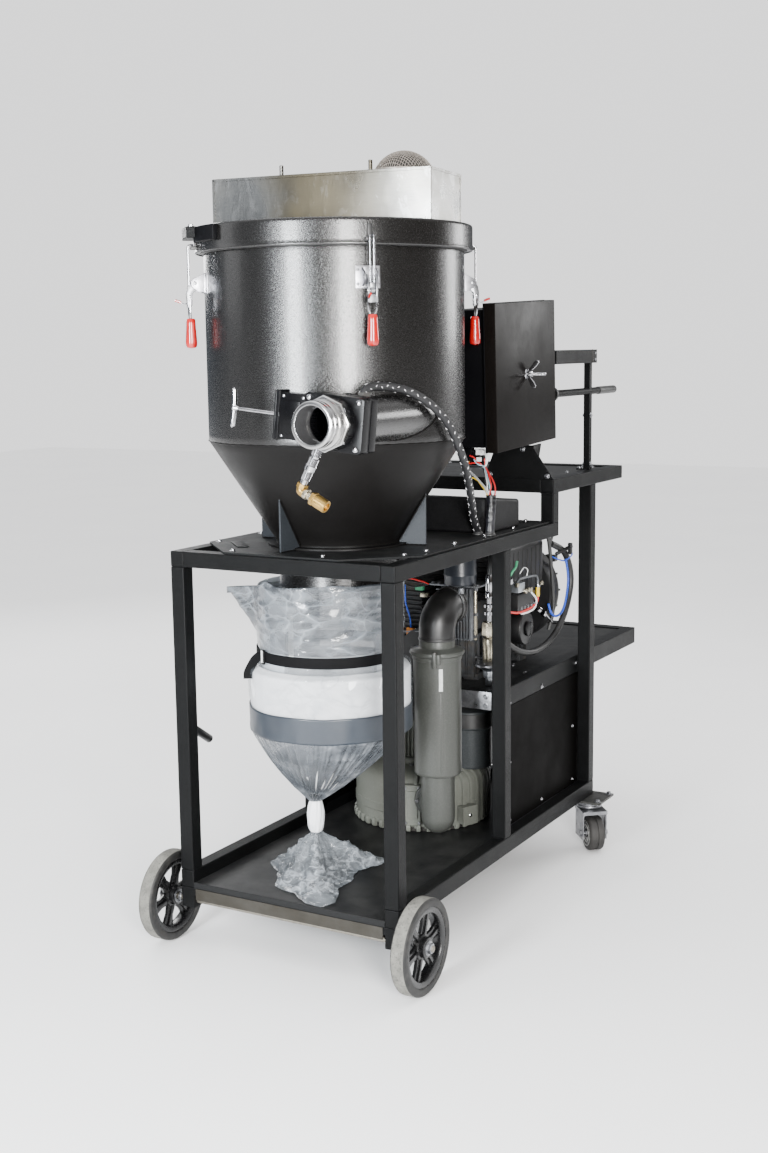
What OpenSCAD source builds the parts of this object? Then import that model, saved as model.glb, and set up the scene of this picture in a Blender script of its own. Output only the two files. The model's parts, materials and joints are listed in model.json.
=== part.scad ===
// Wheeled cyclone dust extractor: a drum with a cone and bag outlet on a tube
// frame cart, with a vertical blower, an engine shelf, a filter box and a
// tangential inlet with a slide valve. Front faces -Y, width along X, ground at z = 0.

/* [Frame] */
// Outer width of the tube frame
frame_width = 622.8; // [520:0.1:720]
// Square tube size
tube = 38.1; // [25:0.1:50]
// Top of the drum deck
deck_top = 996.8; // [850:0.1:1100]
// Length of the drum deck, front face to rear face
deck_length = 923; // [850:1:960]
// Length of the lower frame, front face to rear face
frame_length = 1195; // [1150:1:1240]
// Front face of the middle posts
mid_post_y = 573.9; // [560:0.1:600]
// Top of the rear upper shelf
shelf_top = 1116; // [1100:1:1150]
// Rear end of the upper shelf
shelf_end = 1407; // [1380:1:1450]
// Top of the engine shelf
engine_shelf_top = 577; // [560:1:600]
// Rear end of the engine shelf
engine_shelf_end = 1640; // [1600:1:1660]
// Height of the engine shelf rails
engine_rail_h = 50.8; // [38:0.1:60]
// Bottom of the base rails
base_low = 150.4; // [140:0.1:160]
// Height of the base rails
base_h = 44.6; // [38:0.1:50]
// Thickness of the deck plate
deck_plate_t = 5; // [3:0.5:8]

/* [Wheels] */
// Radius of the front wheels
wheel_r = 114.3; // [100:0.1:120]
// Width of the front wheels
wheel_w = 42; // [36:1:46]
// Radius of the front axle
axle_r = 8; // [6:0.1:10]
// Radius of the caster wheels
caster_r = 50.8; // [45:0.1:55]
// Width of the caster wheels
caster_w = 46; // [25:1:48]
// Angle the casters are turned to
caster_turn = 40; // [0:1:45]

/* [Drum] */
// Outer radius of the drum
drum_r = 312; // [300:1:318]
// Wall thickness of the drum
drum_wall = 3; // [2:0.5:5]
// Height where the cone meets the drum
cone_top = 1259; // [1240:1:1265]
// Outer radius of the cone's foot
cone_foot_r = 154; // [140:1:165]
// Height where the lid meets the drum
lid_low = 1700; // [1690:1:1710]
// Height of the lid top
lid_top = 1760; // [1750:1:1770]
// Outer radius of the lid band
lid_r = 332; // [328:1:336]

/* [Inlet] */
// Sideways position of the inlet pipe's axis
inlet_x = 255; // [250:1:258]
// Height of the inlet pipe's axis
inlet_z = 1320; // [1315:1:1330]
// Outer radius of the inlet pipe
pipe_r = 50.8; // [48:0.1:52]
// Bore radius of the inlet adapter
inlet_bore_r = 40.8; // [38:0.1:42]
// Front end of the inlet adapter
inlet_mouth = -245; // [-250:1:-240]
// Tilt of the slide valve about the pipe
valve_tilt = 6; // [0:0.5:8]

/* [Filter box] */
// Width of the filter box along Y
box_l = 376; // [340:1:380]
// Height of the filter box cover
box_h = 374; // [350:1:380]
// Tilt of the filter box
box_tilt = 2.5; // [0:0.5:3]

/* [Hidden] */
$fn = 64;
xo = frame_width / 2;
xi = xo - tube;
axis_y = 275;
y_mid = (inlet_mouth + engine_shelf_end) / 2;
latch_angles = [-45, -135, 42, 135];
latch_p = [340, 1630];
latch_q = [352, 1600];
swivel = [311, 1165];
caster_trail = 38;
hose_pts = [[252, -24, 1371.6], [252, -23.4, 1378], [253.5, -14, 1387], [257, 6, 1391], [262, 36, 1391], [270, 75, 1388],
  [287, 112, 1379], [303, 144, 1363], [315, 177, 1343], [325, 215, 1314], [329, 254, 1276],
  [330, 285, 1236], [326, 320, 1198], [308, 372, 1158], [294, 410, 1128],
  [280, 446, 1100], [268, 478, 1074], [256, 506, 1050], [251, 531, 1025],
  [249.5, 544.5, 1011], [249.5, 545, 1003]];
loom_pts = [[206, 640, 1190], [218, 639, 1184], [232, 628, 1166], [252, 600, 1142],
  [276, 562, 1120], [286, 544, 1098], [287.5, 541, 1070], [286, 540, 1040], [285, 540, 1002.6]];

// Which piece to show

module base() { translate([0, -y_mid, 0]) children(); }
module both() { children(); mirror([1, 0, 0]) children(); }
module box(a, b) { translate(a) cube([b[0] - a[0], b[1] - a[1], b[2] - a[2]]); }
module cyl_y(r, y0, y1) { translate([0, y1, 0]) rotate([90, 0, 0]) cylinder(r = r, h = y1 - y0); }
module cyl_x(r, x0, x1) { translate([x0, 0, 0]) rotate([0, 90, 0]) cylinder(r = r, h = x1 - x0); }
module at_axis() { translate([0, axis_y, 0]) children(); }
module latch_at(a) { base() at_axis() rotate([0, 0, a]) children(); }

// Sweep of a round section along a list of points
function vunit(v) = v / norm(v);
function tan_at(p, i) = vunit(p[min(i + 1, len(p) - 1)] - p[max(i - 1, 0)]);
function side_at(t) = vunit(cross(abs(t[2]) > 0.95 ? [0, 1, 0] : [0, 0, 1], t));
function ring(p, i, r, n) = let(t = tan_at(p, i), s = side_at([0.02, 1, 0.02]),
  a = vunit(s - (s * t) * t), b = cross(t, a))
  [for (k = [0 : n - 1]) p[i] + r * (cos(360 * k / n) * a + sin(360 * k / n) * b)];
module sweep(p, r, n = 10) {
  m = len(p);
  pts = [for (i = [0 : m - 1]) each ring(p, i, r, n)];
  sides = [for (i = [0 : m - 2]) for (k = [0 : n - 1])
    [i * n + k, i * n + (k + 1) % n, (i + 1) * n + (k + 1) % n, (i + 1) * n + k]];
  polyhedron(points = pts, faces = concat(
    [for (f = sides) [f[0], f[3], f[2], f[1]]],
    [[for (k = [0 : n - 1]) k]],
    [[for (k = [n - 1 : -1 : 0]) (m - 1) * n + k]]), convexity = 6);
}

// ---- frame ----
module frame_posts() color([0.1, 0.1, 0.11]) base() both() {
  box([xi, 0, base_low + base_h], [xo, tube, deck_top - tube]);
  box([xi, mid_post_y, base_low + base_h], [xo, mid_post_y + tube, deck_top - tube]);
  box([xi, frame_length - tube, base_low + base_h], [xo, frame_length, shelf_top - tube]);
  box([xi, deck_length - tube, deck_top], [xo, deck_length, shelf_top - tube]);
}
module side_rails() color([0.11, 0.11, 0.12]) base() both() {
  box([xi, 0, deck_top - tube], [xo, deck_length, deck_top]);
  box([xi, 0, base_low], [xo, frame_length, base_low + base_h]);
  box([xi, deck_length - tube, shelf_top - tube], [xo, shelf_end, shelf_top]);
  box([xi - tube, mid_post_y + tube, engine_shelf_top - engine_rail_h],
    [xi, engine_shelf_end, engine_shelf_top]);
}
module cross_rails() color([0.11, 0.11, 0.12]) base() {
  for (y = [0, deck_length - tube]) box([-xi, y, deck_top - tube], [xi, y + tube, deck_top]);
  box([-xi, frame_length - tube, base_low], [xi, frame_length, base_low + base_h]);
  for (y = [deck_length - tube, shelf_end - tube])
    box([-xi, y, shelf_top - tube], [xi, y + tube, shelf_top]);
  for (y = [mid_post_y + tube, engine_shelf_end - tube])
    box([tube - xi, y, engine_shelf_top - engine_rail_h], [xi - tube, y + tube, engine_shelf_top]);
}
module deck_plate() color([0.16, 0.16, 0.17]) base() difference() {
  translate([0, 0, deck_top]) linear_extrude(deck_plate_t)
    polygon([[-303, 150], [-158, 6], [158, 6], [303, 150], [303, 884], [-303, 884]]);
  translate([0, axis_y, deck_top - 1]) cylinder(r = 148, h = deck_plate_t + 2);
}
module shelf_plates() color([0.13, 0.13, 0.14]) base() {
  box([-xi, deck_length, shelf_top - 8], [xi, shelf_end - tube, shelf_top - 4]);
  box([tube - xi, mid_post_y + 2 * tube, engine_shelf_top - 8], [xi - tube, engine_shelf_end - tube, engine_shelf_top - 4]);
}
module base_tray() color([0.14, 0.14, 0.15]) base() union() {
  box([-xi, 0, 160], [xi, frame_length - tube, 164]);
  box([-xi, 0, 150.4], [xi, 3, 166]);
}
module side_panels() color([0.06, 0.05, 0.05]) base() both()
  box([xi - 2, mid_post_y + tube + 1, base_low + base_h], [xi, frame_length - tube - 1, engine_shelf_top - engine_rail_h]);

// ---- running gear ----
module front_axle() color([0.55, 0.55, 0.57]) base() translate([0, 18.5, wheel_r]) union() {
  cyl_x(axle_r, -392, 392);
  both() cyl_x(11, 381, 389);
  both() cyl_x(12, 324, 328);
}
module axle_brackets() color([0.12, 0.12, 0.13]) base() difference() {
  union() {
    both() box([xi, 0.5, wheel_r - 16], [xo, 37.5, base_low]);
    box([-262, 0.5, 131], [262, 3.5, 150.4]);
    both() box([262, 0.5, 131], [xi, 3.5, 150.4]);
  }
  translate([0, 18.5, wheel_r]) cyl_x(axle_r, -400, 400);
}
module caster_plates() color([0.3, 0.3, 0.32]) base() both() difference() {
  box([256, 1108, base_low - 6], [366, 1222, base_low]);
  for (x = [267, 355]) for (y = [1120, 1210]) translate([x, y, base_low - 7]) cylinder(r = 5, h = 8);
}
module road_wheel(s) base() translate([0, 18.5, wheel_r]) rotate([0, 90, 0]) difference() {
  translate([0, 0, s > 0 ? 336 : -336 - wheel_w]) union() {
    rotate_extrude($fn = 96) {
      translate([wheel_r - 12, wheel_w / 2]) union() {
        square([8, wheel_w - 2], center = true);
        translate([0, 8]) circle(12);
        translate([0, -8]) circle(12);
      }
      translate([72, 5]) square([25, wheel_w - 10]);
      translate([20, wheel_w / 2 - 4]) square([56, 8]);
      square([24, wheel_w]);
    }
  }
  cyl_hole(axle_r + 0.05);
}
module cyl_hole(r) translate([0, 0, -450]) cylinder(r = r, h = 900);
module wheel_left() color([0.4, 0.4, 0.4]) road_wheel(-1);
module wheel_right() color([0.4, 0.4, 0.4]) road_wheel(1);

// Caster frame: origin on the swivel axis, trail towards -Y, turned about Z
module caster_at(s) base() translate([s * swivel[0], swivel[1], 0])
  rotate([0, 0, s * caster_turn]) children();
module caster_fork(s) color([0.65, 0.66, 0.68]) caster_at(s) difference() {
  union() {
    translate([0, 0, 120]) cylinder(r = 34, h = 24);
    box([-37, -60, 110], [37, 22, 120]);
    for (k = [-1, 1]) box([k * 35 - 2, -caster_trail - 16, 34], [k * 35 + 2, 16, 112]);
    translate([0, -caster_trail, caster_r]) cyl_x(6, -41, 41);
  }
}
module caster_roll(s) color([0.1, 0.1, 0.1]) caster_at(s)
  translate([0, -caster_trail, caster_r]) rotate([0, 90, 0]) difference() {
    rotate_extrude($fn = 96) {
      translate([6.05, -caster_w / 2]) square([34, caster_w]);
      translate([caster_r - 10, 0]) union() {
        square([6, caster_w], center = true);
        translate([0, caster_w / 2 - 10]) circle(10);
        translate([0, 10 - caster_w / 2]) circle(10);
      }
      translate([36, -caster_w / 2 + 3]) square([10, caster_w - 6]);
      translate([36, 10 - caster_w / 2]) square([caster_r - 37.2, caster_w - 20]);
    }
  }
module caster_fork_left() caster_fork(-1);
module caster_fork_right() caster_fork(1);
module caster_wheel_left() caster_roll(-1);
module caster_wheel_right() caster_roll(1);

// ---- drum ----
module drum_shell() color([0.08, 0.08, 0.08]) base() difference() {
  at_axis() rotate_extrude($fn = 128) translate([drum_r - drum_wall, cone_top]) square([drum_wall, lid_low - cone_top]);
  translate([inlet_x, 0, inlet_z]) cyl_y(pipe_r - 3, -100, axis_y);
}
module drum_cone() color([0.07, 0.07, 0.07]) base() at_axis() rotate_extrude($fn = 128)
  polygon([[drum_r, cone_top], [drum_r - drum_wall, cone_top], [drum_r - drum_wall, cone_top - 1],
    [cone_foot_r - drum_wall, 1012], [cone_foot_r - drum_wall, deck_top + deck_plate_t],
    [cone_foot_r + 22, deck_top + deck_plate_t], [cone_foot_r + 22, deck_top + deck_plate_t + 5],
    [cone_foot_r, deck_top + deck_plate_t + 5], [cone_foot_r, 1012.5], [drum_r, cone_top - 1]]);
module cone_gussets() color([0.1, 0.1, 0.1]) base() at_axis() for (a = [-96, 9, 84, 180]) rotate([0, 0, a])
  translate([0, 2.5, 0]) rotate([90, 0, 0]) linear_extrude(5)
    polygon([[cone_foot_r + 23, deck_top + deck_plate_t], [228, deck_top + deck_plate_t], [228, 1128], [cone_foot_r + 5, 1013], [cone_foot_r + 5, 1007.5], [cone_foot_r + 23, 1007.5]]);
module inlet_pipe() color([0.09, 0.09, 0.09]) base() difference() {
  translate([inlet_x, 0, inlet_z]) cyl_y(pipe_r, -100, axis_y - 40);
  translate([inlet_x, 0, inlet_z]) cyl_y(pipe_r - 3, -101, axis_y);
  at_axis() translate([0, 0, 1200]) cylinder(r = drum_r, h = 300, $fn = 128);
}
module lid() color([0.09, 0.09, 0.09]) base() at_axis() rotate_extrude($fn = 128)
  polygon([[0, lid_top - 4], [lid_r - 4, lid_top - 4], [lid_r - 4, lid_low + 3], [drum_r - drum_wall, lid_low + 3],
    [drum_r - drum_wall, lid_low], [lid_r, lid_low], [lid_r, lid_top], [0, lid_top]]);
module lid_lug() color([0.07, 0.07, 0.07]) latch_at(-137) difference() {
  translate([0, 0, 1732]) linear_extrude(26) polygon([[lid_r - 1, -58], [lid_r + 26, -52], [lid_r + 30, 0], [lid_r + 26, 52], [lid_r - 1, 58]]);
  translate([0, 0, 1719]) cylinder(r = lid_r, h = 40, $fn = 128);
}

// ---- toggle latches: local X is radial ----
module latch_mount(a) latch_at(a) {
  difference() {
    union() {
      box([306, -28, 1606], [319, 28, 1655]);
      for (k = [-1, 1]) box([318, k * 15 - 2, 1614], [350, k * 15 + 2, 1644]);
    }
    translate([0, 0, 1600]) cylinder(r = drum_r, h = 60, $fn = 128);
    translate([latch_p[0], 0, latch_p[1]]) cyl_y(3.05, -20, 20);
  }
  difference() {
    box([330, -14, 1704], [347, 14, 1715.5]);
    translate([0, 0, 1700]) cylinder(r = lid_r, h = 60, $fn = 128);
  }
}
module latch_mounts() color([0.5, 0.5, 0.52]) for (a = latch_angles) latch_mount(a);
module latch_handle(a) color([0.75, 0.1, 0.08]) latch_at(a) difference() {
  union() {
    for (k = [-1, 1]) {
      box([346, k * 9 - 2, 1576], [358, k * 9 + 2, 1612]);
      box([334, k * 9 - 2, 1608], [354, k * 9 + 2, 1636]);
    }
    translate([latch_p[0], 0, latch_p[1]]) { cyl_y(3, 8, 17); cyl_y(3, -17, -8); }
    translate([latch_q[0], 0, latch_q[1]]) cyl_y(3, -8, 8);
    box([346, -11, 1540], [358, 11, 1580]);
    translate([350, 0, 1481]) cylinder(r = 12, h = 64);
  }
}
module latch_hook(a) color([0.7, 0.7, 0.72]) latch_at(a) union() {
  difference() {
    translate([latch_q[0], 0, latch_q[1]]) cyl_y(7, -5, 5);
    translate([latch_q[0], 0, latch_q[1]]) cyl_y(3.05, -6, 6);
  }
  translate([latch_q[0], 0, latch_q[1] + 6]) cylinder(r = 3, h = 114);
  box([338, -6, 1716], [355, 6, 1721]);
}
module latch_handle_a() latch_handle(latch_angles[0]);
module latch_handle_b() latch_handle(latch_angles[1]);
module latch_handle_c() latch_handle(latch_angles[2]);
module latch_handle_d() latch_handle(latch_angles[3]);
module latch_hook_a() latch_hook(latch_angles[0]);
module latch_hook_b() latch_hook(latch_angles[1]);
module latch_hook_c() latch_hook(latch_angles[2]);
module latch_hook_d() latch_hook(latch_angles[3]);

// ---- top ----
module top_box() color([0.6, 0.61, 0.62]) base() translate([16, 262, 0]) rotate([0, 0, 6.5]) union() {
  box([-279, -97, lid_top], [279, 97, 1877]);
  for (x = [-143.5, 90]) translate([x, 0, 1870]) cylinder(r = 5, h = 41);
}
module mesh_dome() color([0.7, 0.7, 0.72]) base() translate([189.9, 281.8, 1877]) intersection() {
  translate([0, 0, -26]) sphere(r = 76, $fn = 64);
  cylinder(r = 90, h = 60);
}

// ---- inlet valve: local frame on the pipe axis ----
module on_inlet() base() translate([inlet_x, 0, inlet_z]) rotate([0, valve_tilt, 0]) children();
module valve_body() color([0.06, 0.06, 0.07]) on_inlet() difference() {
  union() {
    box([-73, -160, -59], [73, -100, 59]);
    box([-148, -146, -50], [-73, -114, 50]);
    box([-153, -150, -54], [-143, -110, 54]);
    cyl_y(56, -184, -160);
  }
  cyl_y(inlet_bore_r, -190, -90);
  box([-142, -132.2, -46], [64, -127.8, 46]);
  translate([0, -130, 0]) cyl_x(4.05, -160, -136);
  translate([0, -130, 0]) cyl_x(5.5, -142, 0);
}
module inlet_adapter() color([0.72, 0.72, 0.73]) base() translate([inlet_x, 0, inlet_z]) difference() {
  union() {
    cyl_y(50, inlet_mouth, -184);
    cyl_y(53, -206, -196);
    rotate([90, 0, 0]) translate([0, 0, 184]) rotate([0, 0, 30]) cylinder(r = 60, h = 12, $fn = 8);
  }
  cyl_y(inlet_bore_r, inlet_mouth - 1, -183);
}
module valve_slide() color([0.8, 0.8, 0.82]) on_inlet() union() {
  box([-139, -131.8, -44.5], [-46, -128.2, 44.5]);
  translate([0, -130, 0]) cyl_x(4, -272, -139);
  translate([-276, -130, -44]) cylinder(r = 6, h = 88);
}
module drain_fitting() color([0.75, 0.6, 0.25]) base() translate([inlet_x, -172, inlet_z]) rotate([0, 28, 0]) union() {
  translate([0, 0, -150]) cylinder(r = 11.5, h = 93.8);
  translate([0, 0, -160]) sphere(r = 13);
  translate([0, 0, -160]) cylinder(r = 12, h = 14);
  translate([0, 0, -160]) cyl_x(11, 0, 34);
  translate([0, 0, -160]) cyl_x(14.5, 30, 74);
}

// ---- bag outlet ----
module bag_chute() color([0.08, 0.08, 0.08]) base() at_axis() rotate_extrude($fn = 96)
  polygon([[144, 900], [147.5, 900], [147.5, 996], [144, 996]]);
module clear_sleeve() color([0.75, 0.76, 0.78, 0.6]) base() translate([-23, 261, 0]) difference() {
  translate([0, 0, 706]) cylinder(r = 178, h = 194);
  translate([0, 0, 705]) cylinder(r = 174, h = 196);
}
module bag_pack() color([0.9, 0.91, 0.92]) base() translate([-23, 261, 0]) difference() {
  translate([0, 0, 602]) cylinder(r = 204, h = 101);
  translate([0, 0, 601]) cylinder(r = 172, h = 103);
}
module bag_bands() color([0.3, 0.34, 0.4]) base() translate([-23, 261, 0]) {
  difference() {
    translate([0, 0, 539]) cylinder(r = 202, h = 63);
    translate([0, 0, 538]) cylinder(r = 198, h = 65);
  }
  difference() {
    translate([0, 0, 720]) cylinder(r = 184, h = 28);
    translate([0, 0, 719]) cylinder(r = 178.3, h = 30);
  }
}
module bag_cone() color([0.85, 0.87, 0.9]) base() hull() {
  translate([-23, 261, 537]) cylinder(r = 196, h = 2, $fn = 48);
  translate([-61, 238, 340]) cylinder(r = 14, h = 4, $fn = 24);
}
module bag_tail() color([0.88, 0.89, 0.92]) base() union() {
  translate([-61, 238, 262]) cylinder(r = 22, h = 78);
  hull() {
    translate([-50, 220, 192]) sphere(r = 26, $fn = 24);
    translate([-61, 238, 250]) sphere(r = 18, $fn = 24);
    translate([70, 60, 187]) sphere(r = 22, $fn = 24);
    translate([-20, 40, 187]) sphere(r = 22, $fn = 24);
    translate([90, 190, 189]) sphere(r = 24, $fn = 24);
  }
}

// ---- blower ----
module blower() color([0.55, 0.56, 0.54]) base() translate([-40, 770, 0]) union() {
  translate([0, 0, 164]) cylinder(r = 188, h = 8);
  translate([0, 0, 172]) cylinder(r = 195, h = 150);
  translate([0, 0, 322]) cylinder(r = 80, h = 22);
  translate([0, 0, 344]) cylinder(r = 78, h = 110);
}
module silencers() color([0.5, 0.5, 0.48]) base() {
  difference() {
    translate([153, 500, 0]) union() {
      translate([0, 0, 256]) cylinder(r = 44, h = 120);
      translate([0, 0, 256]) sphere(r = 44);
      translate([0, 0, 374]) cylinder(r = 62.5, h = 318);
      translate([0, 0, 688]) cylinder(r = 70, h = 22);
      translate([0, 0, 708]) cylinder(r = 46.3, h = 23);
      translate([0, 0, 264]) rotate([0, 0, 125.6]) rotate([0, 90, 0]) cylinder(r = 38, h = 150);
    }
    translate([-40, 770, 160]) cylinder(r = 195, h = 200);
  }
  translate([110, 780, 322]) union() {
    cylinder(r = 60, h = 112);
    translate([0, 0, 112]) cylinder(r = 64, h = 50);
  }
}
module rubber_elbow() color([0.07, 0.07, 0.07]) base() translate([153, 500, 0]) union() {
  translate([0, 0, 731]) cylinder(r = 49, h = 20);
  translate([0, 60, 748]) rotate([90, 0, -90]) rotate_extrude(angle = 90) translate([60, 0]) circle(r = 47);
  translate([0, 0, 808]) cyl_y(49, 57, 85);
}

// ---- engine zone ----
module engine_block() color([0.45, 0.46, 0.47]) base() union() {
  box([-130, 720, engine_shelf_top - 4], [150, 1080, 780]);
  box([-60, 700, 690], [120, 780, 840]);
  translate([120, 700, 850]) cylinder(r = 40, h = 104);
  box([40, 690, 836], [170, 790, 850]);
}
module engine_shroud() color([0.07, 0.07, 0.07]) base() union() {
  box([-140, 800, 782], [190, 1100, 930]);
}
module engine_housing() color([0.08, 0.08, 0.08]) base() translate([60, 1100, 760]) union() {
  cyl_y(150, 2, 120);
}
module intake_cover() color([0.09, 0.09, 0.09]) base() translate([106, 662, deck_top + deck_plate_t])
  difference() {
    union() {
      box([-166, -78, 0], [166, 78, 94]);
      box([-144, -100, 0], [144, 100, 94]);
      for (x = [-144, 144], y = [-78, 78]) translate([x, y, 0]) cylinder(r = 22, h = 94);
    }
    translate([0, -100, 93]) rotate([-6, 0, 0]) box([-200, -30, 0], [200, 260, 60]);
  }
module regulator() color([0.7, 0.66, 0.5]) base() translate([205, 690, 0]) union() {
  translate([0, 0, engine_shelf_top - 4]) cylinder(r = 12, h = 60);
  translate([0, 0, 630]) cylinder(r = 38, h = 16);
  translate([0, 0, 646]) cylinder(r = 18, h = 110);
  translate([0, 0, 750]) cylinder(r = 10, h = 120);
}

// ---- filter box ----
module at_box() base() translate([274, 755, 1402]) rotate([box_tilt, 0, 0]) children();
module filter_box() color([0.06, 0.06, 0.07]) at_box() union() {
  box([-186, -172, -176], [-16, 172, 172]);
}
module filter_cover() color([0.07, 0.06, 0.06]) at_box() union() {
  box([-16, -box_l / 2, -box_h / 2], [16, box_l / 2, box_h / 2]);
  cyl_x(4, 16, 70);
  difference() {
    cyl_x(12, 16, 26);
    cyl_x(4.5, 15, 27);
  }
  cyl_x(6, 16, 27);
}
module box_bracket() color([0.1, 0.1, 0.1]) base() union() {
  translate([0, 890, 0]) rotate([90, 0, 0]) linear_extrude(4)
    polygon([[104, shelf_top], [309, shelf_top], [246, 1207], [138, 1207]]);
  translate([246, 888, 0]) rotate([90, 0, 90]) linear_extrude(5)
    polygon([[0, shelf_top], [14, shelf_top], [52, 1209], [0, 1207]]);
}
module tank_bracket() color([0.05, 0.05, 0.05]) base() union() {
  box([256, 950, 1424], [290, 1248, 1462]);
  box([264, 1213, shelf_top], [282, 1231, 1430]);
  box([245, 1205, shelf_top], [xi, 1240, shelf_top + 4]);
  translate([273, 0, 1343]) { cyl_y(10, 952, 1425); cyl_y(20, 950, 958); }
}
module braided_hose() color([0.06, 0.06, 0.06]) base() sweep(hose_pts, 10, 12);
module wiring_loom() color([0.5, 0.1, 0.1]) base() union() {
  sweep(loom_pts, 9, 10);
  box([176, 628, 1172], [220, 654, 1212]);
}

frame_posts();
side_rails();
cross_rails();
deck_plate();
shelf_plates();
base_tray();
side_panels();
front_axle();
axle_brackets();
caster_plates();
drum_shell();
drum_cone();
cone_gussets();
inlet_pipe();
lid();
lid_lug();
latch_mounts();
top_box();
mesh_dome();
valve_body();
inlet_adapter();
drain_fitting();
bag_chute();
clear_sleeve();
bag_bands();
bag_pack();
bag_cone();
bag_tail();
blower();
silencers();
rubber_elbow();
engine_block();
engine_shroud();
engine_housing();
intake_cover();
regulator();
filter_box();
filter_cover();
box_bracket();
tank_bracket();
braided_hose();
wiring_loom();
wheel_left();
wheel_right();
caster_fork_left();
caster_fork_right();
caster_wheel_left();
caster_wheel_right();
latch_handle_a();
latch_handle_b();
latch_handle_c();
latch_handle_d();
latch_hook_a();
latch_hook_b();
latch_hook_c();
latch_hook_d();
valve_slide();
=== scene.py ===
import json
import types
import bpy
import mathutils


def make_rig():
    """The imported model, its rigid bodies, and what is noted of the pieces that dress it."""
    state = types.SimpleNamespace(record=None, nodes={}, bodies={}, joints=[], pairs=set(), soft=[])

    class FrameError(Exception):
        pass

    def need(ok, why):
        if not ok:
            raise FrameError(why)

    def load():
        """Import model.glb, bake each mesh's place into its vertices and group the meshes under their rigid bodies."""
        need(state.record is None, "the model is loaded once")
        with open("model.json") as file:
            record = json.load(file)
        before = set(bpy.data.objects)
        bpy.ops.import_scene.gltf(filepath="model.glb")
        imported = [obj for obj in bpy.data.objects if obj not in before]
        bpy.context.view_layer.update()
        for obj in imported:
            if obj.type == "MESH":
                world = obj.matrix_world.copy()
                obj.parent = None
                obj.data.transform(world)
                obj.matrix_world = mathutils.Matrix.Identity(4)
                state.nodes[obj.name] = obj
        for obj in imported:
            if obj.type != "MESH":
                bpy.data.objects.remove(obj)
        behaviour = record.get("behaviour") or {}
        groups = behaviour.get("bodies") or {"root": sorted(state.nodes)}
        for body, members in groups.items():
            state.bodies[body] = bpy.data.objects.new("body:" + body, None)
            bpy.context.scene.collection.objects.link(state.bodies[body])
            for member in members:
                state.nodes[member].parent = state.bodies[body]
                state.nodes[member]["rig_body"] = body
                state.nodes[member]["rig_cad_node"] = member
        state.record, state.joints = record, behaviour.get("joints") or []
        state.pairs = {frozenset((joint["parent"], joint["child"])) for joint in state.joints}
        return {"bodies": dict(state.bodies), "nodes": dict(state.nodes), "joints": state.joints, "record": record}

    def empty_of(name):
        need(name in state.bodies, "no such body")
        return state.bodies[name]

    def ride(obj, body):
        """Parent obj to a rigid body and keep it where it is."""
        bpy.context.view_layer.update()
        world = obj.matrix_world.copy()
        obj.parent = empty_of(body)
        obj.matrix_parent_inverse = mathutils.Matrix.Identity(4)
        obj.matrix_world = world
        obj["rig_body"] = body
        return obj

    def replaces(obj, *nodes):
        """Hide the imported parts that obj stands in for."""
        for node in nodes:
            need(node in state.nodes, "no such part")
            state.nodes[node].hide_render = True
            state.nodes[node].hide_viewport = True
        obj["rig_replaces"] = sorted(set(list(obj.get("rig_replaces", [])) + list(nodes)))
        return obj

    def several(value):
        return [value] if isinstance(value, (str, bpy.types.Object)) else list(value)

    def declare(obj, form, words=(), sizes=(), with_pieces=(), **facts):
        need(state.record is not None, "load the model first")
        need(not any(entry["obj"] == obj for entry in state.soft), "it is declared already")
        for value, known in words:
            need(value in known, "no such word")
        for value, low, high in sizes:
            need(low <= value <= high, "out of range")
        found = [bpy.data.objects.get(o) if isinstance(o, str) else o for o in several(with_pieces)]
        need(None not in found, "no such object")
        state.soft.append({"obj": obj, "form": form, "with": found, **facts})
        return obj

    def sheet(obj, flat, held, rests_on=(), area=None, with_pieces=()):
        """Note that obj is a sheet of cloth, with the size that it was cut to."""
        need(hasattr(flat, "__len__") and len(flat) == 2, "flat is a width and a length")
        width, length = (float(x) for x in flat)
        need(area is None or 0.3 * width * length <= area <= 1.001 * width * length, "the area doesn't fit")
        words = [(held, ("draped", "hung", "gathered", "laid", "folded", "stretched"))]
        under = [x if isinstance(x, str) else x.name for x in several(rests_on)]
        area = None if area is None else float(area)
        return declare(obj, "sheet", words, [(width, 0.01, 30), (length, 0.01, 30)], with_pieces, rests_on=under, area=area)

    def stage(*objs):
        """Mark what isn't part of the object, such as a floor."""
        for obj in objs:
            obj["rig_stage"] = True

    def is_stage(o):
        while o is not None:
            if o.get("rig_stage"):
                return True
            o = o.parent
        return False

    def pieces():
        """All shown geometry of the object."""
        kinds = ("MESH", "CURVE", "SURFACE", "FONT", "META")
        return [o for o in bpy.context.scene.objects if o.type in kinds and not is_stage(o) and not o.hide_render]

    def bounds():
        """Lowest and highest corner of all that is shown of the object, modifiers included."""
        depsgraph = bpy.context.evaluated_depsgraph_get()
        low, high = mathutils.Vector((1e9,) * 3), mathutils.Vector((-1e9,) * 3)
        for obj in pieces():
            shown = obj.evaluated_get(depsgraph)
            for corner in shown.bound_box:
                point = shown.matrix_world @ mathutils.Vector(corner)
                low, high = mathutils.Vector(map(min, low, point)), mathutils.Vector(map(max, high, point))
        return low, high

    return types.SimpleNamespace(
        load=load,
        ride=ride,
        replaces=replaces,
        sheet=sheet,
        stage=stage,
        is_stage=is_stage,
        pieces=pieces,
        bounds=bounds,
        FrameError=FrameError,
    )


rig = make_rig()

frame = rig.load()

import bpy, bmesh, math, json, random
from mathutils import Vector, Matrix, noise

CAD_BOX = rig.bounds()
YM = 0.6975
ROOT = "cart"
random.seed(7)


XF = [Matrix.Identity(4)]


def W(x, y, z):
    """A point of the working frame in mm, in the row frame in metres."""
    p = XF[0] @ Vector((x, y, z))
    return Vector((p.x / 1000.0, p.y / 1000.0 - YM, p.z / 1000.0))


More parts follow.
